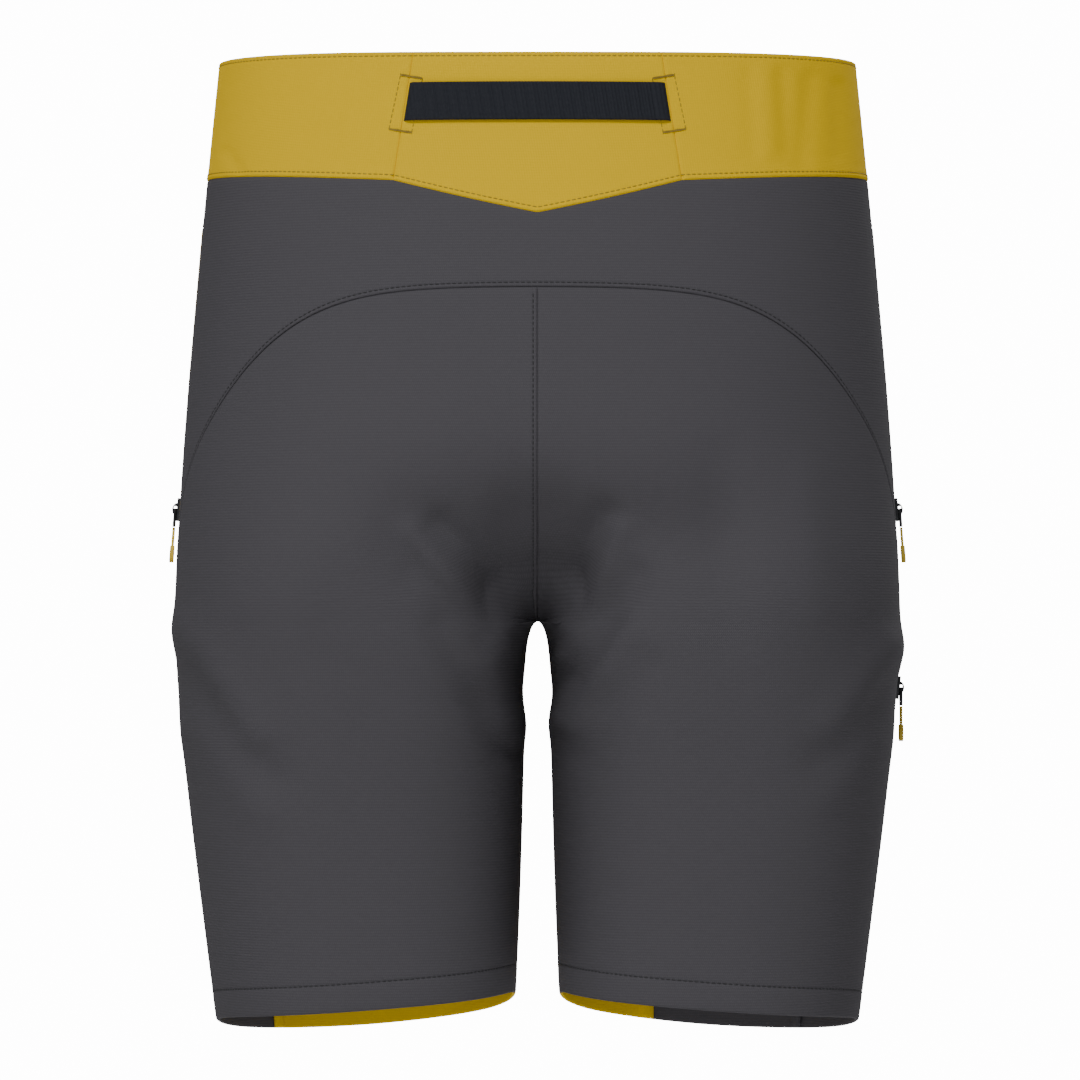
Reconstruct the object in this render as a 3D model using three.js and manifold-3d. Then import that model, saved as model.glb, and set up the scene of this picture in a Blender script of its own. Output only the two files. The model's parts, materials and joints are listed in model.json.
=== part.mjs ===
// Padded impact shorts for skiing and snowboarding, sewn from separate panels.
// Millimetres, +Z up. The origin is the middle of the waist opening at the height of its sides.
// The wearer faces -Y, and +X is the wearer's left.
//
// Every cloth piece lies on one skin, the outside of the garment, which is written as skin(g, z).
// g runs round one half of the garment: 0 at the centre back or the back of the inseam, 0.5 at the
// outer side, 1 at the centre front or the front of the inseam. g is negative on the right half.
// t is g without its sign. Below the crotch each half closes into a leg.
import * as THREE from "three";
import { mergeVertices } from "three/addons/utils/BufferGeometryUtils.js";
import Module from "manifold-3d";

const wasm = await Module();
wasm.setup();

// ---------------------------------------------------------------- Driving dimensions

// Sections of the skin, from the waist to the hem: the half width over both legs, and how far the
// back and the front lie from the side.
const SECTIONS = [
  { z: 15, width: 151.5, back: 95, front: 97 },
  { z: -55, width: 158.5, back: 107, front: 103 },
  { z: -110, width: 163.4, back: 118, front: 105 },
  { z: -167, width: 168.3, back: 126, front: 105.5 },
  { z: -225, width: 172, back: 126, front: 104.5 },
  { z: -266, width: 172.8, back: 120, front: 102 },
  { z: -295, width: 172, back: 114, front: 100 },
  { z: -350, width: 166.3, back: 104, front: 97 },
  { z: -419, width: 157.8, back: 94, front: 92.5 },
  { z: -475, width: 150.5, back: 88, front: 89 },
];
const SQUARENESS = 2.3; // exponent of every section, where 2 is an ellipse

const CROTCH_Z = -266;
const SEAT_RISE = 104; // height over which the two legs merge into the hips
const MERGE_POWER = 1.15;
const VALLEY = 17; // how far the cloth bridges the fold between the legs
const VALLEY_RISE = 55;
const LEG_GAP = 6; // half of the gap between the legs, just below the crotch
const LEG_GAP_AT_HEM = 10.8;
const CROTCH_ARCH = 26; // height of the arch under the crotch

const WAIST_BACK_Z = 1; // height of the waist edge at the centre back
const WAIST_FRONT_Z = -18;
const HEM_Z = -452.4; // mean height of the hem
const HEM_OUTWARD = -6.75; // how much lower the hem is at its outer side
const HEM_BACKWARD = 8; // how much higher it is at the back
const HEM_BOW = 2.6;

const BAND_HEIGHT_SIDE = 55.4; // height of the waistband
const BAND_HEIGHT_BACK = 61;
const BAND_HEIGHT_FRONT = 57;
const BAND_POINT = 14; // drop of the point at the centre back
const BAND_SEAM_TOP_X = 57.6; // half width of the centre back panel
const BAND_SEAM_FOOT_X = 67;

const YOKE_Z = -110; // the yoke seam at the centre back
const YOKE_DROP = 650; // its fall per unit of t past the bend
const YOKE_BEND_T = 0.281;
const YOKE_BEND_SOFTNESS = 0.04;
const SIDE_TOP_T = 0.473; // the side seam at the waistband
const SIDE_JOIN_T = 0.489; // where it meets the yoke seam
const SIDE_HEM_T = 0.666;
const SPLIT_TOP_X = 46; // distance from the centre of the seam between the two right front panels
const SPLIT_HEM_X = 50;

const CLOTH = 1.4; // thickness of the shell
const SEAM = 0.9; // gap between two panels at a seam
const GIRTH = 450; // length of the skin for one unit of t
const HEM_FOLD = 13;
const CLEAR = 0.3; // gap between two hard pieces that touch
const LAYER = 0.9; // gap between two layers of cloth

const LINING = 0.8; // thickness of facings, pocket bags and mesh
const ELASTIC = { zTop: -14, height: 17.6, thick: 1.2, tuck: 10, ramp: 5 };
const SLIT = { width: 8, clear: 0.5 };
const PAD_THICK = 8;
const PAD_EDGE = 3;
const PAD_CLEAR = 1.2;
const PAD_MARGIN = 9; // how far a mesh pocket reaches past its pad

const ZIP = { channel: 10.6, coil: 5, coilTop: -0.2, sink: 0.7, tape: 15, tapeThick: 0.6, bow: 0.5, past: 1.6 };
const ZIP_SEAM_STRIP = 4; // width of the cloth between a hand pocket's zip and the side seam
const SLIDER = { length: 11, width: 8.6, cavity: 6, foot: -0.6, roof: 0.9, top: 2.1 };
const LUG = { length: 6.4, width: 2.2, height: 2.4, bar: 0.8 };
const PULL = { width: 5.6, inner: 3.2, thick: 1.2, eye: 4.6, link: 8.4, cord: 25.5, cordWidth: 3.2 };

const SNAP = { x: -16, firstDown: 16, pitch: 24, capRadius: 7, ringRadius: 5.5, knob: 2.2, shank: 1.1 };
const TAB = { rootX: 14, endX: -29, lift: 3, hingeGap: 1.2, ramp: 8 };

const YELLOW = "#c4a52e";
const GREY = "#4a494d";
const WEBBING = "#25272e";
const METAL = "#3c3d41";
const NICKEL = "#8b8c8f";
const FOAM = "#d9742b";
const MESH = "#1f2124";

// ---------------------------------------------------------------- The skin

const lerp = (a, b, k) => a + (b - a) * k;
const clamp01 = (k) => Math.min(1, Math.max(0, k));

// A smooth curve through the sections: cubic pieces whose slopes come from the neighbours.
function section(z, key) {
  const last = SECTIONS.length - 1;
  let i = 0;
  while (i < last - 1 && z < SECTIONS[i + 1].z) i += 1;
  const [a, b] = [SECTIONS[i], SECTIONS[i + 1]];
  const before = SECTIONS[Math.max(0, i - 1)];
  const after = SECTIONS[Math.min(last, i + 2)];
  const span = b.z - a.z;
  const k = (z - a.z) / span;
  const slopeA = ((b[key] - before[key]) / (b.z - before.z)) * span;
  const slopeB = ((after[key] - a[key]) / (after.z - a.z)) * span;
  const rise = b[key] - a[key];
  return a[key] + k * (slopeA + k * (3 * rise - 2 * slopeA - slopeB + k * (slopeA + slopeB - 2 * rise)));
}

// Half of the gap between the legs: a round arch under the crotch that opens towards the hem.
function legGap(z) {
  const below = CROTCH_Z - z;
  const arch = Math.sqrt(1 - (1 - clamp01(below / CROTCH_ARCH)) ** 2);
  const spread = clamp01(below / (CROTCH_Z - HEM_Z)) ** 2;
  return Math.max(CLEAR, LEG_GAP * arch + (LEG_GAP_AT_HEM - LEG_GAP) * spread);
}

// One section at height z: the centre and half width of the half garment, and how its ends meet the
// centre plane. Above the crotch the centre moves to the middle and the inner side is cut away.
function slice(z) {
  const width = section(z, "width");
  const up = clamp01((z - CROTCH_Z) / SEAT_RISE);
  let centre = (width + legGap(z)) / 2;
  let half = (width - legGap(z)) / 2;
  if (z > CROTCH_Z) {
    const merged = (1 - up) ** MERGE_POWER;
    half = width / (1 + merged);
    centre = width - half;
  }
  const valley = VALLEY * Math.sin((clamp01((z - CROTCH_Z) / VALLEY_RISE) * Math.PI) / 2);
  const inside = z > CROTCH_Z ? Math.min(1, Math.max(0, (centre - valley) / half)) : 1;
  const reach = (1 - inside ** SQUARENESS) ** (1 / SQUARENESS);
  const crossX = z > CROTCH_Z ? Math.max(-half, valley - centre) : -half;
  const acrossReach = (1 - Math.min(1, Math.abs(crossX / half)) ** SQUARENESS) ** (1 / SQUARENESS);
  const end = (depth) => Math.atan2(depth * (crossX > 0 ? acrossReach : reach), crossX);
  const [back, front] = [section(z, "back"), section(z, "front")];
  return { centre, half, back, front, valley, backEnd: end(back), frontEnd: end(front) };
}

// The point of the skin at g and z.
function skinPoint(g, z) {
  const wrapped = g > 1 ? g - 2 : g < -1 ? g + 2 : g;
  const t = Math.abs(wrapped);
  const s = slice(z);
  const angle = t < 0.5 ? s.backEnd * (1 - 2 * t) : s.frontEnd * (1 - 2 * t);
  const [c, d] = [Math.cos(angle), Math.sin(angle)];
  const depth = d > 0 ? s.back : s.front;
  const radius = (Math.abs(c / s.half) ** SQUARENESS + Math.abs(d / depth) ** SQUARENESS) ** (-1 / SQUARENESS);
  const x = s.centre + radius * c;
  const bridged = Math.sqrt(Math.max(0, x * x - s.valley * s.valley));
  return new THREE.Vector3(bridged * (wrapped < 0 ? -1 : 1), radius * d, z);
}

// The direction out of the garment at g and z.
function skinNormal(g, z) {
  const [dg, dz] = [0.002, 0.8];
  const sign = g < 0 ? -1 : 1;
  const low = Math.abs(g) < dg ? sign * 1e-9 : g - dg * sign;
  const high = Math.abs(g) > 1 - dg && Math.abs(g) <= 1 ? g : g + dg * sign;
  const along = skinPoint(high, z).sub(skinPoint(low, z)).multiplyScalar(sign);
  const up = skinPoint(g, z + dz).sub(skinPoint(g, z - dz));
  const onCentre = z > CROTCH_Z && (Math.abs(g) < dg || Math.abs(Math.abs(g) - 1) < dg);
  if (onCentre) along.set(g < 0.5 && g > -0.5 ? 1 : -1, 0, 0);
  if (onCentre) up.x = 0;
  return up.cross(along).normalize();
}

// A point at a distance out of the skin; a negative distance lies inside the garment.
function skin(g, z, out) {
  return skinPoint(g, z).addScaledVector(skinNormal(g, z), out);
}

// t of the skin at a distance x from the centre plane, on the back or on the front.
function tAtX(x, z, key) {
  const s = slice(z);
  const shifted = Math.hypot(x, s.valley) - s.centre;
  const y = s[key] * (1 - Math.abs(shifted / s.half) ** SQUARENESS) ** (1 / SQUARENESS);
  const share = Math.atan2(y, shifted) / s[`${key}End`];
  return key === "back" ? 0.5 - share / 2 : 0.5 + share / 2;
}

// ---------------------------------------------------------------- Seam lines and edges

function waistZ(t) {
  const turn = Math.sin((0.5 - t) * Math.PI) ** 2;
  return turn * (t < 0.5 ? WAIST_BACK_Z : WAIST_FRONT_Z);
}

function bandFootZ(t) {
  const turn = Math.sin((0.5 - t) * Math.PI) ** 2;
  const height = lerp(BAND_HEIGHT_SIDE, t < 0.5 ? BAND_HEIGHT_BACK : BAND_HEIGHT_FRONT, turn);
  const x = skinPoint(Math.min(t, 0.3), -BAND_HEIGHT_BACK).x;
  const point = t < 0.5 ? clamp01(1 - x / BAND_SEAM_FOOT_X) * BAND_POINT : 0;
  return waistZ(t) - height - point;
}

function yokeZ(t) {
  const past = (t - YOKE_BEND_T) / YOKE_BEND_SOFTNESS;
  return YOKE_Z - YOKE_DROP * YOKE_BEND_SOFTNESS * Math.log(1 + Math.exp(past));
}

function hemZ(t) {
  const turn = (1 - 2 * t) * Math.PI;
  return HEM_Z + HEM_OUTWARD * Math.cos(turn) + HEM_BACKWARD * Math.sin(turn) + HEM_BOW * Math.cos(2 * turn);
}

const SIDE_JOIN_Z = yokeZ(SIDE_JOIN_T);

function sideT(z) {
  if (z > SIDE_JOIN_Z) {
    const down = (bandFootZ(SIDE_TOP_T) - z) / (bandFootZ(SIDE_TOP_T) - SIDE_JOIN_Z);
    return lerp(SIDE_TOP_T, SIDE_JOIN_T, down);
  }
  const down = clamp01((SIDE_JOIN_Z - z) / (SIDE_JOIN_Z - hemZ(SIDE_HEM_T)));
  return lerp(SIDE_JOIN_T, SIDE_HEM_T, Math.sin((down * Math.PI) / 2));
}

const FRONT_TOP_Z = WAIST_FRONT_Z - BAND_HEIGHT_FRONT;

function splitT(z) {
  const down = clamp01((FRONT_TOP_Z - z) / (FRONT_TOP_Z - HEM_Z));
  return tAtX(lerp(SPLIT_TOP_X, SPLIT_HEM_X, down), z, "front");
}

const SPLIT_TOP_T = splitT(FRONT_TOP_Z);
const SPLIT_HEM_T = splitT(HEM_Z);

// t of the seam beside the centre back panel, at a share of the way down the waistband.
function bandSeamT(down) {
  return tAtX(lerp(BAND_SEAM_TOP_X, BAND_SEAM_FOOT_X, down), -BAND_HEIGHT_BACK * down, "back");
}

// t of a panel's edge beside the centre seam, which runs on down the inseam of each leg.
function centreEdgeT(z, key) {
  const along = key === "back" ? seamT : 1 - seamT;
  return z > CROTCH_Z ? tAtX(SEAM / 2, z, key) : along;
}

// ---------------------------------------------------------------- Solids

const steps = (from, to, count) => Array.from({ length: count + 1 }, (_, i) => lerp(from, to, i / count));
const seamT = SEAM / 2 / GIRTH;

// A closed slab over a grid. place(u, v) gives its outer and its inner point.
function slab(columns, rows, place) {
  const [nu, nv] = [columns.length, rows.length];
  const position = [];
  rows.forEach((v) => columns.forEach((u) => place(u, v).forEach((p) => position.push(p.x, p.y, p.z))));
  const at = (i, j, layer) => 2 * (j * nu + i) + layer;
  const index = [];
  const quad = (a, b, c, d) => index.push(a, b, c, a, c, d);
  for (let j = 0; j < nv - 1; j += 1) {
    for (let i = 0; i < nu - 1; i += 1) {
      quad(at(i, j, 0), at(i + 1, j, 0), at(i + 1, j + 1, 0), at(i, j + 1, 0));
      quad(at(i, j, 1), at(i, j + 1, 1), at(i + 1, j + 1, 1), at(i + 1, j, 1));
    }
  }
  for (let i = 0; i < nu - 1; i += 1) {
    quad(at(i, 0, 0), at(i, 0, 1), at(i + 1, 0, 1), at(i + 1, 0, 0));
    quad(at(i, nv - 1, 0), at(i + 1, nv - 1, 0), at(i + 1, nv - 1, 1), at(i, nv - 1, 1));
  }
  for (let j = 0; j < nv - 1; j += 1) {
    quad(at(0, j, 0), at(0, j + 1, 0), at(0, j + 1, 1), at(0, j, 1));
    quad(at(nu - 1, j, 0), at(nu - 1, j, 1), at(nu - 1, j + 1, 1), at(nu - 1, j + 1, 0));
  }
  const geometry = new THREE.BufferGeometry();
  geometry.setAttribute("position", new THREE.Float32BufferAttribute(position, 3));
  geometry.setIndex(index);
  return facingOut(geometry);
}

// The same geometry with its faces turned round if they point inwards.
function facingOut(geometry) {
  const p = geometry.attributes.position;
  const index = geometry.index.array;
  const corner = (k) => new THREE.Vector3().fromBufferAttribute(p, index[k]);
  let volume = 0;
  for (let k = 0; k < index.length; k += 3) volume += corner(k).dot(corner(k + 1).cross(corner(k + 2)));
  if (volume > 0) return geometry;
  for (let k = 0; k < index.length; k += 3) [index[k], index[k + 1]] = [index[k + 1], index[k]];
  return geometry;
}

function solidOf(geometry) {
  const bare = geometry.clone();
  bare.deleteAttribute("normal");
  bare.deleteAttribute("uv");
  const merged = mergeVertices(bare, 1e-4);
  return new wasm.Manifold(
    new wasm.Mesh({
      numProp: 3,
      vertProperties: merged.attributes.position.array,
      triVerts: new Uint32Array(merged.index.array),
    }),
  );
}

function geometryOf(solid) {
  const mesh = solid.getMesh();
  const geometry = new THREE.BufferGeometry();
  geometry.setAttribute("position", new THREE.BufferAttribute(mesh.vertProperties, 3));
  geometry.setIndex(new THREE.BufferAttribute(mesh.triVerts, 1));
  return geometry;
}

const cut = (geometry, ...tools) => geometryOf(tools.reduce((s, t) => s.subtract(solidOf(t)), solidOf(geometry)));
const join = (...geometries) => geometryOf(geometries.map(solidOf).reduce((a, b) => a.add(b)));

// A box between two corners.
function box(low, high) {
  const size = high.map((h, k) => h - low[k]);
  return new THREE.BoxGeometry(...size).translate(...low.map((l, k) => l + size[k] / 2));
}

function mesh(name, geometry, color, roughness = 0.9, metalness = 0) {
  const made = new THREE.Mesh(geometry, new THREE.MeshStandardMaterial({ color, roughness, metalness }));
  made.name = name;
  return made;
}

const shorts = new THREE.Group();

// ---------------------------------------------------------------- Zips: where they lie

// A zip's frame: X across it, Y out of the garment, Z up along it, with its origin at its foot.
// The slider runs along Z, so the frame follows the chord between the zip's two ends.
function zipFrame(g, zFoot, zTop) {
  const foot = skinPoint(g(zFoot), zFoot);
  const top = skinPoint(g(zTop), zTop);
  const up = top.clone().sub(foot).normalize();
  const out = new THREE.Vector3();
  for (const z of [zFoot, (zFoot + zTop) / 2, zTop]) out.add(skinNormal(g(z), z));
  out.addScaledVector(up, -out.dot(up)).normalize();
  const across = out.clone().cross(up);
  const matrix = new THREE.Matrix4().makeBasis(across, out, up).setPosition(foot);
  return { g, zFoot, zTop, matrix, length: top.distanceTo(foot) };
}

const zipFromSeamT = (ZIP.channel / 2 + ZIP_SEAM_STRIP) / GIRTH;
const handZipG = (sign) => (z) => sign * (sideT(z) + zipFromSeamT);
const zips = {
  hand_left: zipFrame(handZipG(1), -226, -78),
  hand_right: zipFrame(handZipG(-1), -226, -78),
  thigh: zipFrame(() => -0.522, -412, -290),
  fly: zipFrame(() => 1, -194, -80),
};

// The channel that a zip needs through the shell.
function channel(zip) {
  const half = ZIP.channel / 2;
  return box([-half, -12, 0], [half, 12, zip.length]).applyMatrix4(zip.matrix);
}

// ---------------------------------------------------------------- Shell panels

// The outer and inner point of the shell, thicker by one fold at the hem.
function shellAt(g, z, inner = CLOTH) {
  return [skin(g, z, 0), skin(g, z, -inner)];
}

function waistbandBack() {
  const place = (a, b) => {
    const t = Math.abs(a) * (bandSeamT(b) - seamT);
    return shellAt(a < 0 ? -t : t, lerp(waistZ(t), bandFootZ(t) + SEAM / 2, b));
  };
  const slope = (BAND_SEAM_TOP_X - BAND_SEAM_FOOT_X) / BAND_HEIGHT_BACK;
  const slits = [1, -1].map((sign) => {
    const high = ELASTIC.zTop + SLIT.clear;
    const low = ELASTIC.zTop - ELASTIC.height - SLIT.clear;
    const along = [sign, 0, sign * slope, sign * BAND_SEAM_TOP_X, 0, 1, 0, 0, 0, 0, 1, 0, 0, 0, 0, 1];
    const hole = box([-SLIT.width, 40, low], [2, 140, high]).applyMatrix4(new THREE.Matrix4().set(...along));
    return facingOut(hole);
  });
  return cut(slab(steps(-1, 1, 12), steps(0, 1, 3), place), ...slits);
}

// Half width of the centre back panel at height z.
function bandSeamX(z) {
  return lerp(BAND_SEAM_TOP_X, BAND_SEAM_FOOT_X, -z / BAND_HEIGHT_BACK);
}

function waistbandSide(sign, frontX) {
  const place = (a, b) => {
    const end = tAtX(Math.abs(frontX), -BAND_HEIGHT_FRONT * b, "front");
    const across = frontX * sign >= 0 ? end : 2 - end;
    const t = lerp(bandSeamT(b) + seamT, across, a);
    const folded = t > 1 ? 2 - t : t;
    return shellAt(sign * t, lerp(waistZ(folded), bandFootZ(folded) + SEAM / 2, b));
  };
  return slab(steps(0, 1, 18), steps(0, 1, 2), place);
}

function backYoke() {
  const place = (a, b) => {
    const k = Math.abs(a);
    const [top, foot] = [k * (SIDE_TOP_T - seamT), k * (SIDE_JOIN_T - seamT)];
    const z = lerp(bandFootZ(top) - SEAM / 2, yokeZ(foot) + SEAM / 2, b);
    return shellAt(lerp(top, foot, b) * (a < 0 ? -1 : 1), z);
  };
  return slab(steps(-1, 1, 30), steps(0, 1, 4), place);
}

// Shares of the way down a leg panel, closer together round the crotch and at the hem's fold.
function legRows(topZ) {
  const length = topZ - hemZ(0);
  const crotch = (topZ - CROTCH_Z) / length;
  const near = [-0.07, -0.02, 0, 0.02, 0.07].map((d) => crotch + d);
  const fold = 1 - HEM_FOLD / length;
  const even = steps(0, 1, 12).filter((b) => near.every((n) => Math.abs(n - b) > 0.04) && b < fold - 0.02);
  return [...even, ...near, fold - 0.006, fold, 1].sort((p, q) => p - q);
}

// A panel that runs down to the hem, which is folded inwards. fromT and toT give the t of its sides
// at a height; topT and hemT are the t of its corners.
function legPanel(sign, fromT, toT, topZ, topT, hemT, columns) {
  const rows = legRows(topZ(topZ === yokeZ ? 0 : 1));
  const fold = rows[rows.length - 2];
  const place = (a, b) => {
    const z = lerp(topZ(lerp(...topT, a)) - SEAM / 2, hemZ(lerp(...hemT, a)), b);
    return shellAt(sign * lerp(fromT(z), toT(z), a), z, b >= fold ? 2 * CLOTH : CLOTH);
  };
  return slab(steps(0, 1, columns), rows, place);
}

const backEdge = (z) => centreEdgeT(z, "back");
const frontEdge = (z) => centreEdgeT(z, "front");
const behindSide = (z) => sideT(z) - seamT;
const beforeSide = (z) => sideT(z) + seamT;
const beforeSplit = (z) => splitT(z) - seamT;
const behindSplit = (z) => splitT(z) + seamT;

function backPanel(sign) {
  return legPanel(sign, backEdge, behindSide, yokeZ, [0, SIDE_JOIN_T], [0, SIDE_HEM_T], 15);
}

const frontLeft = legPanel(1, beforeSide, frontEdge, bandFootZ, [SIDE_TOP_T, 1], [SIDE_HEM_T, 1], 13);
const frontRightOuter = legPanel(
  -1,
  beforeSide,
  beforeSplit,
  bandFootZ,
  [SIDE_TOP_T, SPLIT_TOP_T],
  [SIDE_HEM_T, SPLIT_HEM_T],
  9,
);
const frontRightInner = legPanel(-1, behindSplit, frontEdge, bandFootZ, [SPLIT_TOP_T, 1], [SPLIT_HEM_T, 1], 4);

// ---------------------------------------------------------------- Snaps and the waist tab

// A snap's frame on the waistband: Z out of the garment, with its origin on the skin.
function snapFrame(down) {
  const z = WAIST_FRONT_Z - down;
  const g = -tAtX(Math.abs(SNAP.x), z, "front");
  const out = skinNormal(g, z);
  const turn = new THREE.Quaternion().setFromUnitVectors(new THREE.Vector3(0, 0, 1), out);
  return new THREE.Matrix4().compose(skinPoint(g, z), turn, new THREE.Vector3(1, 1, 1));
}

const snapFrames = [snapFrame(SNAP.firstDown), snapFrame(SNAP.firstDown + SNAP.pitch)];

// A turned piece from its half profile of [radius, height] points, from the axis round to the axis
// or closed on itself.
function turned(profile, segments = 12) {
  const points = profile.map(([r, h]) => new THREE.Vector2(r, h));
  return new THREE.LatheGeometry(points, segments).rotateX(Math.PI / 2);
}

function shankHole(frame, radius) {
  return new THREE.CylinderGeometry(radius, radius, 30, 12).rotateX(Math.PI / 2).applyMatrix4(frame);
}

function waistTab() {
  const [root, end] = [TAB.rootX - TAB.hingeGap, TAB.endX];
  const place = (a, b) => {
    const x = lerp(root, end, a);
    const t = tAtX(Math.abs(x), -BAND_HEIGHT_FRONT * b, "front");
    const lift = TAB.lift * clamp01((root - x) / TAB.ramp);
    const z = lerp(waistZ(t), bandFootZ(t) + SEAM / 2, b);
    const g = x > 0 ? t : -t;
    return [skin(g, z, lift), skin(g, z, lift - CLOTH)];
  };
  const plain = slab([0, ...steps(TAB.ramp / (root - end), 1, 7)], steps(0, 1, 3), place);
  return cut(plain, ...snapFrames.map((f) => shankHole(f, SNAP.shank + CLEAR)));
}

const rightBand = cut(
  waistbandSide(-1, TAB.rootX - TAB.hingeGap - TAB.ramp - 2 * CLEAR),
  ...snapFrames.map((f) => shankHole(f, SNAP.shank + CLEAR)),
);

// The four turned pieces of one snap, from the inside of the waistband outwards.
function snapPieces(frame, place) {
  const { capRadius, ringRadius, knob, shank } = SNAP;
  const tabIn = TAB.lift - CLOTH;
  const postFoot = -CLOTH - LAYER;
  const knobTop = tabIn - CLEAR - 0.15;
  const pieces = {
    post: [[0, postFoot - 0.9], [ringRadius - 0.5, postFoot - 0.9], [ringRadius - 0.5, postFoot], [shank, postFoot], [shank, 0], [0, 0]],
    stud: [[0, CLEAR], [ringRadius, CLEAR], [ringRadius, CLEAR + 0.4], [knob, CLEAR + 0.5], [knob, knobTop], [0, knobTop]],
    socket: [
      [knob + CLEAR, CLEAR + 0.7],
      [ringRadius, CLEAR + 0.7],
      [ringRadius, tabIn - CLEAR],
      [knob + CLEAR, tabIn - CLEAR],
      [knob + CLEAR, CLEAR + 0.7],
    ],
    cap: [
      [0, tabIn],
      [shank, tabIn],
      [shank, TAB.lift + CLEAR],
      [capRadius, TAB.lift + CLEAR],
      [capRadius, TAB.lift + CLEAR + 0.8],
      [capRadius * 0.8, TAB.lift + CLEAR + 1.5],
      [0, TAB.lift + CLEAR + 1.7],
    ],
  };
  const colours = { post: NICKEL, stud: NICKEL, socket: NICKEL, cap: METAL };
  return Object.entries(pieces).map(([piece, profile]) =>
    mesh(`snap_${piece}_${place}`, turned(profile).applyMatrix4(frame), colours[piece], 0.35, 0.9),
  );
}

// ---------------------------------------------------------------- Waistband elastic and facings

// The strip crosses the centre back panel on the outside, and its ends pass through the slits beside
// that panel and lie under the side panels.
function rearElastic() {
  const outside = LAYER + ELASTIC.thick;
  const inside = -CLOTH - LAYER;
  const path = [
    [-ELASTIC.tuck, inside],
    [1 + ELASTIC.thick, inside],
    [1 + ELASTIC.thick + ELASTIC.ramp, outside],
    [19, outside],
    [33, outside],
    [47, outside],
  ]; // distance in from the seam, and out of the skin
  const last = path.length;
  const place = (i, b) => {
    const [inset, out] = i === 0 ? [Infinity, outside] : path[last - Math.abs(i)];
    const z = lerp(ELASTIC.zTop, ELASTIC.zTop - ELASTIC.height, b);
    const x = i === 0 ? 0 : bandSeamX(z) - inset;
    const g = tAtX(x, z, "back") * Math.sign(i);
    return [skin(g, z, out), skin(g, z, out - ELASTIC.thick)];
  };
  return slab(steps(-last, last, 2 * last), [0, 1], place);
}

const FACING_DEPTH = CLOTH + ELASTIC.thick + 2 * LAYER;
const FACING_SIDE_T = 0.13; // where the side facings meet the back one
const FACING_END_T = 0.9;

function facing(fromG, toG, columns) {
  const place = (a, b) => {
    const g = lerp(fromG, toG, a);
    const t = Math.abs(g);
    const z = lerp(waistZ(t) - 0.6, bandFootZ(t) + SEAM, b);
    return [skin(g, z, -FACING_DEPTH), skin(g, z, -FACING_DEPTH - LINING)];
  };
  return slab(steps(0, 1, columns), [0, 1], place);
}

// ---------------------------------------------------------------- Pads and their mesh pockets

const SHELL_DEPTH = CLOTH + LAYER + 0.4;
const BAG_DEPTH = CLOTH + ZIP.sink + ZIP.tapeThick + 2 * LAYER + ZIP.bow;
const UNDER_BAG_DEPTH = BAG_DEPTH + LINING + LAYER;

// A pad on the skin: its middle, its half width and half height, and the depth of its outer face.
// rounding is 0 for a rectangle and 1 for an ellipse.
const PADS = {
  tailbone: { g: 0, z: -152, wide: 38, high: 44, depth: SHELL_DEPTH, rounding: 0.5 },
  seat_left: { g: 0.21, z: -186, wide: 34, high: 42, depth: SHELL_DEPTH, rounding: 0.7 },
  hip_left: { g: 0.475, z: -198, wide: 50, high: 58, depth: UNDER_BAG_DEPTH, rounding: 0.6 },
  thigh_left: { g: 0.62, z: -345, wide: 42, high: 50, depth: UNDER_BAG_DEPTH, rounding: 0.6 },
};
for (const name of ["seat", "hip", "thigh"]) {
  PADS[`${name}_right`] = { ...PADS[`${name}_left`], g: -PADS[`${name}_left`].g };
}
PADS.thigh_left.depth = SHELL_DEPTH + 1.8; // only the right thigh has a pocket over its pad

// A square's point moved so that the square's corners become round.
function rounded(a, b, rounding) {
  return [a * Math.sqrt(1 - (b * b * rounding) / 2), b * Math.sqrt(1 - (a * a * rounding) / 2)];
}

// How thick the pad is at (a, b), where 1 is its edge.
const padThickness = (a, b) => lerp(PAD_EDGE, PAD_THICK, 1 - Math.max(Math.abs(a), Math.abs(b)) ** 4);

function padPlace(pad, a, b, grow = 0) {
  const [u, v] = rounded(a, b, pad.rounding);
  return [pad.g + (u * (pad.wide + grow)) / GIRTH, pad.z + v * (pad.high + grow)];
}

const PAD_GRID = [-1, -0.7, -0.3, 0, 0.3, 0.7, 1];

function padSolid(pad) {
  return slab(PAD_GRID, PAD_GRID, (a, b) => {
    const [g, z] = padPlace(pad, a, b);
    return [skin(g, z, -pad.depth), skin(g, z, -pad.depth - padThickness(a, b))];
  });
}

// The mesh pocket covers the pad's inner face and slopes down to the shell all round it.
function padPocket(pad) {
  const past = [PAD_CLEAR, PAD_MARGIN]; // distances past the pad's edge
  const lines = [...past.map((r) => -1 - r).reverse(), ...PAD_GRID, ...past.map((r) => 1 + r)];
  return slab(lines, lines, (p, q) => {
    const [a, b] = [p, q].map((k) => Math.min(1, Math.max(-1, k)));
    const [g0, z0] = padPlace(pad, a, b);
    const away = [p - a, q - b];
    const share = away[0] && away[1] ? rounded(Math.sign(away[0]), Math.sign(away[1]), pad.rounding).map(Math.abs) : [1, 1];
    const g = g0 + (share[0] * away[0]) / GIRTH;
    const z = z0 + share[1] * away[1];
    const skirt = Math.max(Math.abs(away[0]), Math.abs(away[1])) > PAD_CLEAR;
    const depth = pad.depth + (skirt ? 0 : padThickness(a, b) + LAYER);
    return [skin(g, z, -depth), skin(g, z, -depth - LINING)];
  });
}

// ---------------------------------------------------------------- Pocket bags and the fly shield

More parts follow.
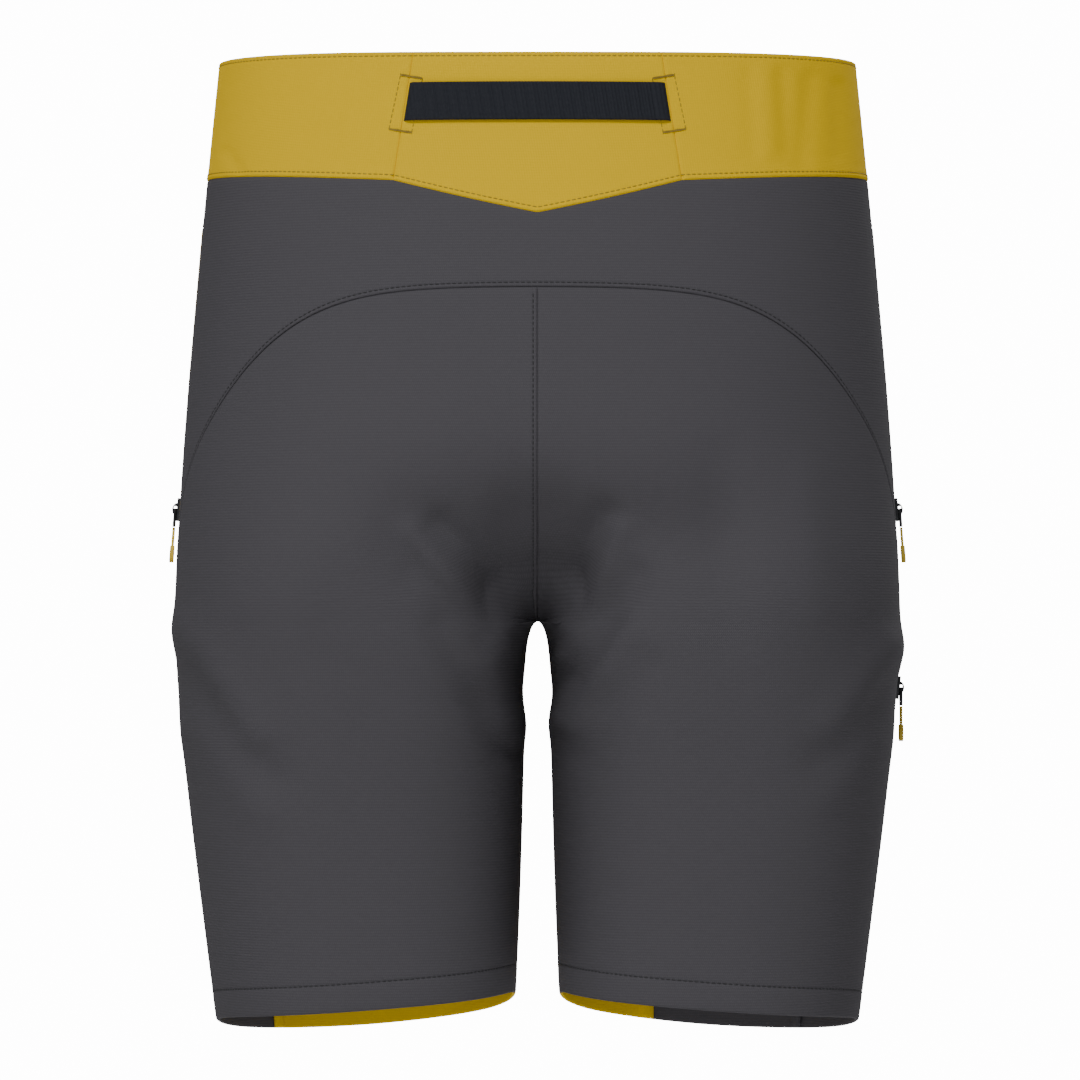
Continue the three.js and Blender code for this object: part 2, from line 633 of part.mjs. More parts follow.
// A flat bag sewn behind a zip, from t0 to t1 across and between two heights.
function bag(sign, t0, t1, zTop, zFoot, depth) {
  const place = (a, b) => {
    const [u, v] = rounded(2 * a - 1, 2 * b - 1, 0.35);
    const g = sign * lerp(t0, t1, (u + 1) / 2);
    const z = lerp(zTop, zFoot, (v + 1) / 2);
    return [skin(g, z, -depth), skin(g, z, -depth - LINING)];
  };
  return slab(steps(0, 1, 7), steps(0, 1, 6), place);
}

const FLY_SHIELD_HALF = 19;

function flyShield() {
  const place = (a, b) => {
    const z = lerp(zips.fly.zTop + 4, zips.fly.zFoot - 6, b);
    const x = lerp(-FLY_SHIELD_HALF, FLY_SHIELD_HALF, a);
    const t = tAtX(Math.abs(x), z, "front");
    const g = x < 0 ? -t : t;
    return [skin(g, z, -BAG_DEPTH), skin(g, z, -BAG_DEPTH - LINING)];
  };
  return slab(steps(0, 1, 4), steps(0, 1, 6), place);
}

// ---------------------------------------------------------------- Zips

// The tape with its coil, straight along the zip's frame: the coil stands up in the channel, and the
// tape runs on behind the shell past all four edges of the channel.
function zipChain(zip) {
  const tapeTop = -CLOTH - LAYER - ZIP.sink;
  const [coil, tape] = [ZIP.coil / 2, ZIP.tape / 2];
  const coilBlock = box([-coil, tapeTop - 0.1, 0.5], [coil, ZIP.coilTop, zip.length - 0.5]);
  const tapeBlock = box([-tape, tapeTop - ZIP.tapeThick, -ZIP.past], [tape, tapeTop, zip.length + ZIP.past]);
  return join(tapeBlock, coilBlock).applyMatrix4(zip.matrix);
}

// The slider, in the zip's frame with its middle at the origin: a roof over the coil with two feet,
// and a lug on top that the pull hangs in.
function sliderBody() {
  const { length, width, cavity, foot, roof, top } = SLIDER;
  const body = new THREE.Shape();
  body.moveTo(-width / 2, foot);
  body.lineTo(-cavity / 2, foot);
  body.lineTo(-cavity / 2, roof);
  body.lineTo(cavity / 2, roof);
  body.lineTo(cavity / 2, foot);
  body.lineTo(width / 2, foot);
  body.lineTo(width / 2, top - 0.6);
  body.lineTo(width / 2 - 0.9, top);
  body.lineTo(-width / 2 + 0.9, top);
  body.lineTo(-width / 2, top - 0.6);
  body.closePath();
  const shell = new THREE.ExtrudeGeometry(body, { depth: length, bevelEnabled: false }).translate(0, 0, -length / 2);
  const arch = new THREE.Shape();
  arch.absarc(0, 0, LUG.length / 2, 0, Math.PI, false);
  arch.closePath();
  const lug = new THREE.ExtrudeGeometry(arch, { depth: LUG.width, bevelEnabled: false, curveSegments: 10 })
    .scale(1, LUG.height / (LUG.length / 2), 1)
    .translate(0, 0, -LUG.width / 2)
    .rotateY(Math.PI / 2)
    .translate(0, top - 0.05, 0);
  const eye = box([-LUG.width, top, -1.5], [LUG.width, top + LUG.height - 0.8, 1.5]);
  return join(shell, cut(lug, eye));
}

const HINGE_OUT = SLIDER.top + 0.85;

// The metal link, hanging from the hinge line at its own origin. Its top bar lies in the lug's eye.
function pullLink() {
  const { width, inner, thick, eye, link } = PULL;
  const bar = LUG.bar / 2;
  const plate = box([-width / 2, -thick / 2, -link], [width / 2, thick / 2, -eye]);
  const sides = [-1, 1].map((sign) => {
    const [a, b] = [sign * (inner / 2), sign * (width / 2)];
    return box([Math.min(a, b), -thick / 2, -eye - 0.2], [Math.max(a, b), thick / 2, bar]);
  });
  const rod = box([-width / 2 + 0.1, -bar, -bar], [width / 2 - 0.1, bar, bar]);
  return join(plate, ...sides, rod);
}

// The cord below the link, ending in a moulded grip.
function pullCord() {
  const { link, cord, cordWidth } = PULL;
  const string = box([-cordWidth / 2, -0.6, -cord + 2], [cordWidth / 2, 0.6, -link - CLEAR]);
  const grip = new THREE.Shape();
  grip.moveTo(-1.8, 0);
  grip.lineTo(1.8, 0);
  grip.lineTo(2.6, -2.5);
  grip.absarc(0, -5.4, 2.6, 0, Math.PI, true);
  grip.lineTo(-2.6, -2.5);
  grip.closePath();
  const end = new THREE.ExtrudeGeometry(grip, { depth: 2, bevelEnabled: false, curveSegments: 6 })
    .rotateX(Math.PI / 2)
    .translate(0, 1, -cord + 8);
  return join(string, end);
}

// One zip with its slider near the closed end. hang is the pull's turn from the zip's own line.
function addZip(name, zip, sliderAt, hang) {
  shorts.add(mesh(`${name}_zip_chain`, zipChain(zip), YELLOW, 0.6));
  const runner = new THREE.Group();
  zip.matrix.decompose(runner.position, runner.quaternion, runner.scale);
  runner.translateZ(sliderAt);
  runner.add(mesh(`${name}_zip_slider`, sliderBody(), METAL, 0.4, 0.8));
  const pull = new THREE.Group();
  pull.position.set(0, HINGE_OUT, 0);
  pull.rotation.x = hang;
  pull.add(mesh(`${name}_zip_link`, pullLink(), METAL, 0.4, 0.8));
  pull.add(mesh(`${name}_zip_cord`, pullCord(), YELLOW, 0.7));
  runner.add(pull);
  shorts.add(runner);
}

// The turn that lets a pull hang plumb from a zip that leans.
function plumb(zip) {
  const up = new THREE.Vector3().setFromMatrixColumn(zip.matrix, 2);
  const out = new THREE.Vector3().setFromMatrixColumn(zip.matrix, 1);
  return Math.atan2(-out.z, up.z);
}

// ---------------------------------------------------------------- The assembly

shorts.add(mesh("waistband_back", waistbandBack(), YELLOW));
shorts.add(mesh("waistband_left", waistbandSide(1, TAB.rootX), YELLOW));
shorts.add(mesh("waistband_right", rightBand, YELLOW));
shorts.add(mesh("waist_tab", waistTab(), YELLOW));
shorts.add(mesh("rear_elastic", rearElastic(), WEBBING));
shorts.add(mesh("facing_back", facing(-FACING_SIDE_T + seamT, FACING_SIDE_T - seamT, 8), YELLOW));
shorts.add(mesh("facing_left", facing(FACING_SIDE_T, FACING_END_T, 18), YELLOW));
shorts.add(mesh("facing_right", facing(-FACING_SIDE_T, -FACING_END_T, 18), YELLOW));

shorts.add(mesh("back_yoke", backYoke(), GREY));
shorts.add(mesh("back_panel_left", backPanel(1), GREY));
shorts.add(mesh("back_panel_right", cut(backPanel(-1), channel(zips.thigh)), GREY));
shorts.add(mesh("front_panel_left", cut(frontLeft, channel(zips.hand_left), channel(zips.fly)), YELLOW));
shorts.add(mesh("front_panel_right_outer", cut(frontRightOuter, channel(zips.hand_right)), GREY));
shorts.add(mesh("front_panel_right_inner", cut(frontRightInner, channel(zips.fly)), YELLOW));

for (const [side, sign] of [["left", 1], ["right", -1]]) {
  shorts.add(mesh(`hand_pocket_bag_${side}`, bag(sign, 0.455, 0.655, -70, -244, BAG_DEPTH), MESH));
}
shorts.add(mesh("thigh_pocket_bag", bag(-1, 0.49, 0.66, -280, -424, BAG_DEPTH), MESH));
shorts.add(mesh("fly_shield", flyShield(), YELLOW));

snapFrames.forEach((frame, i) => shorts.add(...snapPieces(frame, ["upper", "lower"][i])));

const ends = SLIDER.length / 2 + 2;
addZip("hand_left", zips.hand_left, ends + 6, 0);
addZip("hand_right", zips.hand_right, ends + 6, 0);
addZip("thigh", zips.thigh, zips.thigh.length - ends, plumb(zips.thigh));
addZip("fly", zips.fly, zips.fly.length - ends, 0);

for (const [name, pad] of Object.entries(PADS)) {
  shorts.add(mesh(`${name}_pad`, padSolid(pad), FOAM));
  shorts.add(mesh(`${name}_pad_pocket`, padPocket(pad), MESH));
}

export default shorts;
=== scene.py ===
"""The looks of a pair of padded impact shorts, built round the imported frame.

The wearer faces -Y, +X is the wearer's left and +Z is up, as in the frame. The cloth is worked out in
millimetres on one skin, the outside of the garment, and becomes metres when a mesh is made.

A place on the skin is (g, z). g runs round one half of the garment: 0 at the centre back or the back of
the inseam, 0.5 at the outer side, 1 at the centre front or the front of the inseam. It is negative on
the right half. t is g without its sign.
"""

import json
import logging
import math
from dataclasses import dataclass, field
from enum import Enum
from typing import Callable, Sequence

import bmesh
import bpy
import numpy as np
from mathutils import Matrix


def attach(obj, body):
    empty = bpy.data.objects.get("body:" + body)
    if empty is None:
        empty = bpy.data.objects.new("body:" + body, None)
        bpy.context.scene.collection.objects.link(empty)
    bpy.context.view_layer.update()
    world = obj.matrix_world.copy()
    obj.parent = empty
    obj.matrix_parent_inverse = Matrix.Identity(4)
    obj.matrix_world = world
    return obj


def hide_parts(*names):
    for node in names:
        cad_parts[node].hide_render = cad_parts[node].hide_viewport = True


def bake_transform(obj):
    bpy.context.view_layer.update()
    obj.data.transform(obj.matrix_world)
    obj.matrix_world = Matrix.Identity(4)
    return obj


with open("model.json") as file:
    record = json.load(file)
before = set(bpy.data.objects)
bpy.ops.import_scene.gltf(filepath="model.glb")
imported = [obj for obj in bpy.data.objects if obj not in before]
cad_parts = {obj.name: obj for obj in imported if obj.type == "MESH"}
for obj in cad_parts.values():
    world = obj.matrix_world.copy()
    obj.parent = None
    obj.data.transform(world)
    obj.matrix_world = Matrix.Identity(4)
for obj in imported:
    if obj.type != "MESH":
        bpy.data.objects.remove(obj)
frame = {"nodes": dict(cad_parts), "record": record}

Array = np.ndarray
Curve = Callable[[Array], Array]
MM = 0.001
RIM_BULGE = 0.2
SPINDLE_PLACES = (-1.0, -0.8, 0.0, 0.8, 1.0)
SPINDLE_RADII = (0.3, 0.85, 1.0, 0.85, 0.3)
SPINDLE_CORNERS = 6
EASED_WELD = 2e-5
EASED_WIDTH = 0.00022
EASED_FROM, EASED_SHARP, TURNED_SHARP = 35, 40, 50
LOG = logging.getLogger("shorts")
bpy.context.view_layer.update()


def lerp(a: Array, b: Array, k: Array) -> Array:
    """The value a share k of the way from a to b."""
    return a + (b - a) * k


def share(value: Array) -> Array:
    """The value held between 0 and 1."""
    return np.clip(value, 0.0, 1.0)


def smooth(k: Array) -> Array:
    """k from 0 to 1 with a level start and end."""
    return k * k * (3 - 2 * k)


def level(value: float) -> Curve:
    """A curve that is the same everywhere."""
    return lambda z: np.full_like(np.asarray(z, float), value)


def travelled(path: Array) -> Array:
    """The distance along a path to each of its points."""
    return np.concatenate([[0], np.cumsum(np.linalg.norm(np.diff(path, axis=0), axis=1))])


def interpolated(at: Array, places: Array, values: Array) -> Array:
    """The points between values, which lie at places, at other places."""
    return np.stack([np.interp(at, places, values[:, k]) for k in range(3)], axis=1)


def boxy(angle: Array, power: float) -> tuple[Array, Array]:
    """The cosine and sine of the angles, swollen towards the corners of a square by a power below 1."""
    c, s = np.cos(angle), np.sin(angle)
    return np.sign(c) * np.abs(c) ** power, np.sign(s) * np.abs(s) ** power


# ---------------------------------------------------------------- The skin and the pattern


@dataclass(frozen=True)
class Skin:
    """The outside of the garment as a function of (g, z), in millimetres.

    Each section at a height is a superellipse about the middle of its half of the garment. Below the
    crotch the half is a closed leg. Above it the middle moves to the centre plane over seat_rise, and
    the cloth bridges the fold between the legs.

    Args:
        heights, widths, backs, fronts: the sections' heights, half widths and depths behind and in front.
        squareness, inner_squareness: the powers of the superellipse, outside and inside its middle.
        crotch, hem: heights.
        seat_rise, merge_power, merge_softness, merge_lag, merge_fade: how the legs become one above the
            crotch.
        valley, valley_rise: how wide the cloth bridges the fold, and over what height it starts to.
        leg_gap, leg_gap_at_hem, crotch_arch, least_gap: half the gap between the legs, and its arch.
        gap_bulge, gap_nip: a swelling and a narrowing of the gap: size, distance below the crotch, spread.
        gap_reach, gap_spread, gap_reach_most, gap_settle: how far into the leg the gap is felt.
        girth: what a whole turn of g measures, roughly.
        plain_near, plain_from, plain_to: where directions out are taken at a steady x.
    """

    heights: tuple[float, ...] = (15, -55, -110, -167, -225, -266, -295, -350, -419, -475)
    widths: tuple[float, ...] = (151.5, 158.5, 163.4, 168.3, 172, 172.8, 172, 166.3, 157.8, 150.5)
    backs: tuple[float, ...] = (95, 107, 118, 126, 126, 120, 114, 104, 94, 88)
    fronts: tuple[float, ...] = (97, 103, 105, 105.5, 104.5, 102, 100, 97, 92.5, 89)
    squareness: float = 2.3
    inner_squareness: float = 2.6
    crotch: float = -266.0
    hem: float = -452.4
    seat_rise: float = 104.0
    merge_power: float = 1.15
    merge_softness: float = 0.16
    merge_lag: float = 11.0
    merge_fade: float = 45.0
    valley: float = 17.0
    valley_rise: float = 55.0
    leg_gap: float = 6.0
    leg_gap_at_hem: float = 10.8
    crotch_arch: float = 26.0
    least_gap: float = 0.3
    gap_bulge: tuple[float, float, float] = (1.2, 33.0, 9.0)
    gap_nip: tuple[float, float, float] = (-0.8, 50.0, 7.0)
    gap_reach: float = 9.0
    gap_spread: float = 1.3
    gap_reach_most: float = 60.0
    gap_settle: float = 80.0
    girth: float = 450.0
    plain_near: float = 45.0
    plain_from: float = 9.0
    plain_to: float = 130.0

    def station(self, z: Array, values: Sequence[float]) -> Array:
        """A smooth curve through the sections: cubic pieces whose slopes come from the neighbours.

        Args:
            z: heights.
            values: the value at each of the sections.

        Returns:
            The value at each height.
        """
        heights, v = np.array(self.heights, float), np.array(values, float)
        last = len(heights) - 1
        i = np.clip(np.searchsorted(-heights, -z, side="left") - 1, 0, last - 1)
        before, after = np.maximum(0, i - 1), np.minimum(last, i + 2)
        span = heights[i + 1] - heights[i]
        k = (z - heights[i]) / span
        slope_a = (v[i + 1] - v[before]) / (heights[i + 1] - heights[before]) * span
        slope_b = (v[after] - v[i]) / (heights[after] - heights[i]) * span
        rise = v[i + 1] - v[i]
        bend = 3 * rise - 2 * slope_a - slope_b + k * (slope_a + slope_b - 2 * rise)
        return v[i] + k * (slope_a + k * bend)

    def gap(self, z: Array) -> Array:
        """Half of the gap between the legs: a round arch that opens towards the hem."""
        below = self.crotch - z
        arch = np.sqrt(1 - (1 - share(below / self.crotch_arch)) ** 2)
        spread = share(below / (self.crotch - self.hem)) ** 2
        gap = self.leg_gap * arch + (self.leg_gap_at_hem - self.leg_gap) * spread
        for height, place, width in (self.gap_bulge, self.gap_nip):
            gap = gap + height * np.exp(-(((below - place) / width) ** 2))
        return np.maximum(self.least_gap, gap)

    def calm_gap(self, z: Array) -> Array:
        """The gap as the whole leg feels it: it opens slowly, so that no crease crosses the leg."""
        k = share((self.crotch - z) / self.gap_settle)
        return self.gap(z) * smooth(k)

    def eased(self, x: Array, z: Array) -> Array:
        """x after the inner edge of the leg has moved from the calm gap to the real one."""
        below = np.maximum(0, self.crotch - z)
        extra = np.where(below > 0, self.gap(z) - self.calm_gap(z), 0.0)
        reach = np.minimum(self.gap_reach + self.gap_spread * below, self.gap_reach_most)
        return x + extra * share(1 - x / reach) ** 2

    def before_easing(self, x: Array, z: Array) -> Array:
        """The x that eased() turns into this one, found by repeated correction."""
        found = np.asarray(x, float)
        for _ in range(4):
            found = found - (self.eased(found, z) - x)
        return found

    def slices(self, z: Array) -> dict[str, Array]:
        """The sections at the heights z: their middle, sizes and bridge, and the angles of their ends."""
        n = self.inner_squareness
        width, above = self.station(z, self.widths), z > self.crotch
        risen = np.maximum(0, z - self.crotch)
        late = self.merge_lag * (1 - np.exp(-risen / self.merge_lag))
        late = late * np.exp(-((risen / self.merge_fade) ** 2))
        apart = 1 - (risen - late) / self.seat_rise
        soft = (apart + np.hypot(apart, self.merge_softness)) / 2
        parted = np.minimum(1, soft - self.merge_softness**2 / 4 * share(1 - risen / self.seat_rise))
        half = np.where(above, width / (1 + parted**self.merge_power), (width - self.calm_gap(z)) / 2)
        centre = width - half
        valley = self.valley * np.sin(share((z - self.crotch) / self.valley_rise) * math.pi / 2)
        inside = np.where(above, share((centre - valley) / half), 1.0)
        reach = (1 - inside**n) ** (1 / n)
        cross = np.where(above, np.maximum(-half, valley - centre), -half)
        outer = self.squareness
        across = (1 - np.minimum(1, np.abs(cross / half)) ** outer) ** (1 / outer)
        along = np.where(cross > 0, across, reach)
        back, front = self.station(z, self.backs), self.station(z, self.fronts)
        return {
            "centre": centre,
            "half": half,
            "back": back,
            "front": front,
            "valley": valley,
            "back_end": np.arctan2(back * along, cross),
            "front_end": np.arctan2(front * along, cross),
        }

    def point(self, g: Array, z: Array) -> Array:
        """The points of the skin at (g, z), as an array with a last axis of x, y, z."""
        g, z = np.broadcast_arrays(np.asarray(g, float), np.asarray(z, float))
        wrapped = np.where(g > 1, g - 2, np.where(g < -1, g + 2, g))
        t = np.abs(wrapped)
        s = self.slices(z)
        angle = np.where(t < 0.5, s["back_end"], s["front_end"]) * (1 - 2 * t)
        c, d = np.cos(angle), np.sin(angle)
        depth = np.where(d > 0, s["back"], s["front"])
        n = np.where(c < 0, self.inner_squareness, self.squareness)
        radius = (np.abs(c / s["half"]) ** n + np.abs(d / depth) ** n) ** (-1 / n)
        x = s["centre"] + radius * c
        bridged = self.eased(np.sqrt(np.maximum(0, x * x - s["valley"] ** 2)), z)
        return np.stack([np.where(wrapped < 0, -bridged, bridged), radius * d, z], axis=-1)

    def depth_at(self, x: Array, z: Array, front: Array) -> Array:
        """y of the skin at a distance x from the centre plane, on the front or on the back."""
        s = self.slices(np.asarray(z, float))
        shifted = (np.hypot(self.before_easing(x, z), s["valley"]) - s["centre"]) / s["half"]
        n = np.where(shifted < 0, self.inner_squareness, self.squareness)
        return np.where(front, -s["front"], s["back"]) * (1 - np.minimum(1, np.abs(shifted)) ** n) ** (1 / n)

    def normal(self, g: Array, z: Array) -> Array:
        """The unit directions out of the garment at (g, z)."""
        g, z = np.broadcast_arrays(np.asarray(g, float), np.asarray(z, float))
        dg, dz = 0.002, 0.8
        side, t = np.where(g < 0, -1.0, 1.0), np.abs(g)
        low = np.where(t < dg, side * 1e-9, g - dg * side)
        high = np.where((t > 1 - dg) & (t <= 1), g, g + dg * side)
        along = (self.point(high, z) - self.point(low, z)) * side[..., None]
        up = self.point(g, z + dz) - self.point(g, z - dz)
        at = self.point(g, z)
        across, back_or_front = np.abs(at[..., 0]), at[..., 1] < 0
        rise = self.depth_at(across, z + dz, back_or_front) - self.depth_at(across, z - dz, back_or_front)
        upright = np.stack([np.zeros_like(rise), rise, np.full_like(rise, 2 * dz)], axis=-1)
        clear = (across > self.plain_from) | (z - dz > self.crotch)
        steep = (np.abs(z - self.crotch) < self.plain_near) & clear & (across < self.plain_to)
        up = np.where(steep[..., None], upright, up)
        centre = (z > self.crotch) & ((t < dg) | (np.abs(t - 1) < dg))
        flat = np.stack([np.where(t < 0.5, 1.0, -1.0), np.zeros_like(t), np.zeros_like(t)], axis=-1)
        along = np.where(centre[..., None], flat, along)
        up[..., 0] = np.where(centre, 0.0, up[..., 0])
        out = np.cross(up, along)
        return out / np.linalg.norm(out, axis=-1, keepdims=True)

    def t_at_x(self, x: Array, z: Array, front: bool) -> Array:
        """t of the skin at a distance x from the centre plane, on the front or on the back."""
        s = self.slices(np.asarray(z, float))
        key = "front" if front else "back"
        shifted = np.hypot(self.before_easing(x, z), s["valley"]) - s["centre"]
        n = np.where(shifted < 0, self.inner_squareness, self.squareness)
        y = s[key] * (1 - np.minimum(1, np.abs(shifted / s["half"])) ** n) ** (1 / n)
        part = np.arctan2(y, shifted) / s[f"{key}_end"]
        return 0.5 + part / 2 if front else 0.5 - part / 2


@dataclass(frozen=True)
class Fold:
    """A soft fold: a line on the back or the front, seen from there, and how wide and high it is.

    Positions are x and z in millimetres, and a negative height is a hollow.
    """

    start: tuple[float, float]
    end: tuple[float, float]
    width: float
    height: float
    front: bool = False


@dataclass(frozen=True)
class Drape:
    """The folds that lie on the skin, as a distance out of it."""

    folds: tuple[Fold, ...]
    fade_from: float = 6.0
    centre_calm: float = 10.0
    crotch: float = -266.0
    crotch_calm: tuple[float, float] = (20.0, 16.0)

    def lift(self, points: Array) -> Array:
        """How far out of the skin the cloth stands at the points.

        Each fold adds its height times a bell curve of the distance from its line, over its width.
        A fold fades where the skin turns away from its side, and close to the crotch.
        """
        x, y, z = points[..., 0], points[..., 1], points[..., 2]
        calm = share(np.hypot(x / self.crotch_calm[0], (z - self.crotch) / self.crotch_calm[1])) ** 2
        total = np.zeros_like(x)
        for fold in self.folds:
            (x0, z0), (x1, z1) = fold.start, fold.end
            dx, dz = x1 - x0, z1 - z0
            k = share(((x - x0) * dx + (z - z0) * dz) / (dx * dx + dz * dz))
            distance = np.hypot(x - x0 - k * dx, z - z0 - k * dz)
            facing = share((-y if fold.front else y) / self.fade_from)
            total += fold.height * np.exp(-((distance / fold.width) ** 2)) * facing
        return total * calm

    def moved(self, points: Array, out: Array, height: Array) -> Array:
        """The points moved out of the skin by a height, and by the folds.

        The folds move nothing sideways at the centre plane, so that the centre seam stays shut.
        """
        steady = out.copy()
        steady[..., 0] *= share(np.abs(points[..., 0]) / self.centre_calm)
        return points + out * height[..., None] + steady * self.lift(points)[..., None]


@dataclass(frozen=True)
class Pattern:
    """The seam lines and edges of the garment on its skin."""

    skin: Skin = field(default_factory=Skin)
    waist_back: float = -1.6
    waist_front: float = -18.0
    band_side: float = 55.4
    band_back: float = 61.0
    band_front: float = 57.0
    band_point: float = 14.0
    band_seam_top: float = 57.6
    band_seam_foot: float = 67.0
    yoke: float = -111.5
    yoke_drop: float = 650.0
    yoke_bend: float = 0.281
    yoke_softness: float = 0.053
    side_top: float = 0.473
    side_join: float = 0.489
    side_hem: float = 0.666
    split_top: float = 46.0
    split_hem: float = 50.0
    hem_outward: float = -6.75
    hem_backward: float = 8.0
    hem_bow: float = 2.6

    def folded(self, g: Array) -> Array:
        """t of a g that may be negative or run on past the centre front."""
        t = np.abs(np.asarray(g, float))
        return np.where(t > 1, 2 - t, t)

    def waist_z(self, t: Array) -> Array:
        """Height of the waist edge: level at the side, and turned up or down towards the centres."""
        t = self.folded(t)
        return np.sin((0.5 - t) * math.pi) ** 2 * np.where(t < 0.5, self.waist_back, self.waist_front)

    def band_foot_z(self, t: Array) -> Array:
        """Height of the waistband's lower edge, with its point at the centre back."""
        t = self.folded(t)
        turn = np.sin((0.5 - t) * math.pi) ** 2
        height = lerp(self.band_side, np.where(t < 0.5, self.band_back, self.band_front), turn)
        x = self.skin.point(np.minimum(t, 0.3), np.full_like(t, -self.band_back))[..., 0]
        point = np.where(t < 0.5, share(1 - x / self.band_seam_foot) * self.band_point, 0.0)
        return self.waist_z(t) - height - point

    def band_seam_x(self, z: Array) -> Array:
        """Distance from the centre of the seams beside the centre back panel of the waistband."""
        return lerp(self.band_seam_top, self.band_seam_foot, -np.asarray(z, float) / self.band_back)

    def yoke_z(self, t: Array) -> Array:
        """Height of the yoke seam: level across the back, then falling at a steady rate."""
        past = (self.folded(t) - self.yoke_bend) / self.yoke_softness
        return self.yoke - self.yoke_drop * self.yoke_softness * np.log1p(np.exp(past))

    def hem_z(self, t: Array) -> Array:
        """Height of the hem: lower at the outer side and at the front."""
        turn = (1 - 2 * self.folded(t)) * math.pi
        level = self.skin.hem + self.hem_outward * np.cos(turn)
        return level + self.hem_backward * np.sin(turn) + self.hem_bow * np.cos(2 * turn)

    def side_t(self, z: Array) -> Array:
        """t of the side seam: straight down from the waistband, then swinging forward to the hem."""
        z = np.asarray(z, float)
        join, top = self.yoke_z(self.side_join), self.band_foot_z(self.side_top)
        upper = lerp(self.side_top, self.side_join, (top - z) / (top - join))
        down = share((join - z) / (join - self.hem_z(self.side_hem)))
        return np.where(z > join, upper, lerp(self.side_join, self.side_hem, np.sin(down * math.pi / 2)))

    def split_t(self, z: Array) -> Array:
        """t of the seam between the two right front panels."""
        top = self.waist_front - self.band_front
        down = share((top - np.asarray(z, float)) / (top - self.skin.hem))
        return self.skin.t_at_x(lerp(self.split_top, self.split_hem, down), z, True)

    def centre_t(self, z: Array, front: bool, inset: float = 0.45) -> Array:
        """t at a distance beside the centre seam, which runs on down the inseam of each leg."""
        z = np.asarray(z, float)
        along = inset / self.skin.girth
        leg = np.full_like(z, 1 - along if front else along)
        return np.where(z > self.skin.crotch, self.skin.t_at_x(inset, z, front), leg)


# ---------------------------------------------------------------- Meshes


def quads_between(index: Array) -> Array:
    """The faces between the rows and columns of a grid of point numbers."""
    corners = (index[:-1, :-1], index[:-1, 1:], index[1:, 1:], index[1:, :-1])
    return np.stack([c.ravel() for c in corners], axis=1)


def quads_of_grid(rows: int, columns: int, start: int = 0) -> Array:
    """The faces of a grid of points, row by row."""
    return quads_between(start + np.arange(rows * columns).reshape(rows, columns))


def outward(points: Array, faces: Array) -> Array:
    """The faces of a closed mesh of quads, all turned round if they enclose a negative volume."""
    a, b, c, d = (points[faces[:, k]] for k in range(4))
    volume = np.einsum("ij,ij->", a, np.cross(b, c)) + np.einsum("ij,ij->", a, np.cross(c, d))
    return faces if volume > 0 else faces[:, ::-1]


def mesh_object(
    name: str,
    points: Array,
    faces: Array | list[list[int]],
    material: bpy.types.Material,
    uv: Array | None = None,
) -> bpy.types.Object:
    """A smooth object at the origin from points in millimetres and quads.

    Args:
        name: the piece's name.
        points: an array of n points.
        faces: an array of quads.
        material: the finish.
        uv: where each point lies on the flat cloth, in millimetres.

    Returns:
        The new object, linked to the scene.
    """
    mesh = bpy.data.meshes.new(name)
    mesh.from_pydata((points * MM).tolist(), [], faces if isinstance(faces, list) else faces.tolist())
    if uv is not None:
        layer = mesh.uv_layers.new(name="Cloth")
        index = np.empty(len(mesh.loops), np.int32)
        mesh.loops.foreach_get("vertex_index", index)
        layer.uv.foreach_set("vector", uv[index].astype(np.float32).ravel())
    mesh.polygons.foreach_set("use_smooth", np.ones(len(mesh.polygons), bool))
    mesh.materials.append(material)
    mesh.update()
    made = bpy.data.objects.new(name, mesh)
    bpy.context.scene.collection.objects.link(made)
    return made


def slab(
    name: str, outer: Array, inner: Array, material: bpy.types.Material, uv: Array | None = None
) -> bpy.types.Object:
    """A closed sheet between two grids of points, with a rounded rim.

    The rim has one more row of points, half way between the grids.
    """
    rows, columns = outer.shape[:2]
    count = rows * columns
    top = quads_of_grid(rows, columns)
    foot = quads_of_grid(rows, columns, count)[:, ::-1]
    index = np.arange(count).reshape(rows, columns)
    ring = np.concatenate([index[0, :-1], index[:-1, -1], index[-1, :0:-1], index[:0:-1, 0]])
    upper, lower = outer.reshape(-1, 3), inner.reshape(-1, 3)
    middle, through = (upper[ring] + lower[ring]) / 2, upper[ring] - lower[ring]
    inward = outer.mean(axis=(0, 1)) - middle
    thick = np.linalg.norm(through, axis=1, keepdims=True)
    around = np.roll(middle, -1, axis=0) - np.roll(middle, 1, axis=0)
    away = np.cross(around, through)
    away /= np.maximum(np.linalg.norm(away, axis=1, keepdims=True), 1e-9)
    away *= -np.sign(np.einsum("ij,ij->i", away, inward))[:, None]
    middle = middle + away * thick * RIM_BULGE
    rim = 2 * count + np.arange(len(ring))
    following, rim_next = np.roll(ring, -1), np.roll(rim, -1)
    wall_a = np.stack([following, ring, rim, rim_next], axis=1)
    wall_b = np.stack([rim_next, rim, ring + count, following + count], axis=1)
    points = np.concatenate([upper, lower, middle])
    faces = outward(points, np.concatenate([top, foot, wall_a, wall_b]))
    flat = None
    if uv is not None:
        once = uv.reshape(-1, 2)
        flat = np.concatenate([once, once, once[ring]])
    return mesh_object(name, points, faces, material, flat)


def frames_along(path: Array, out: Array) -> tuple[Array, Array]:
    """The unit directions along a path and across it, at right angles to out."""
    along = np.gradient(path, axis=0)
    along /= np.linalg.norm(along, axis=1, keepdims=True)
    across = np.cross(along, out)
    across /= np.linalg.norm(across, axis=1, keepdims=True)
    return along, across


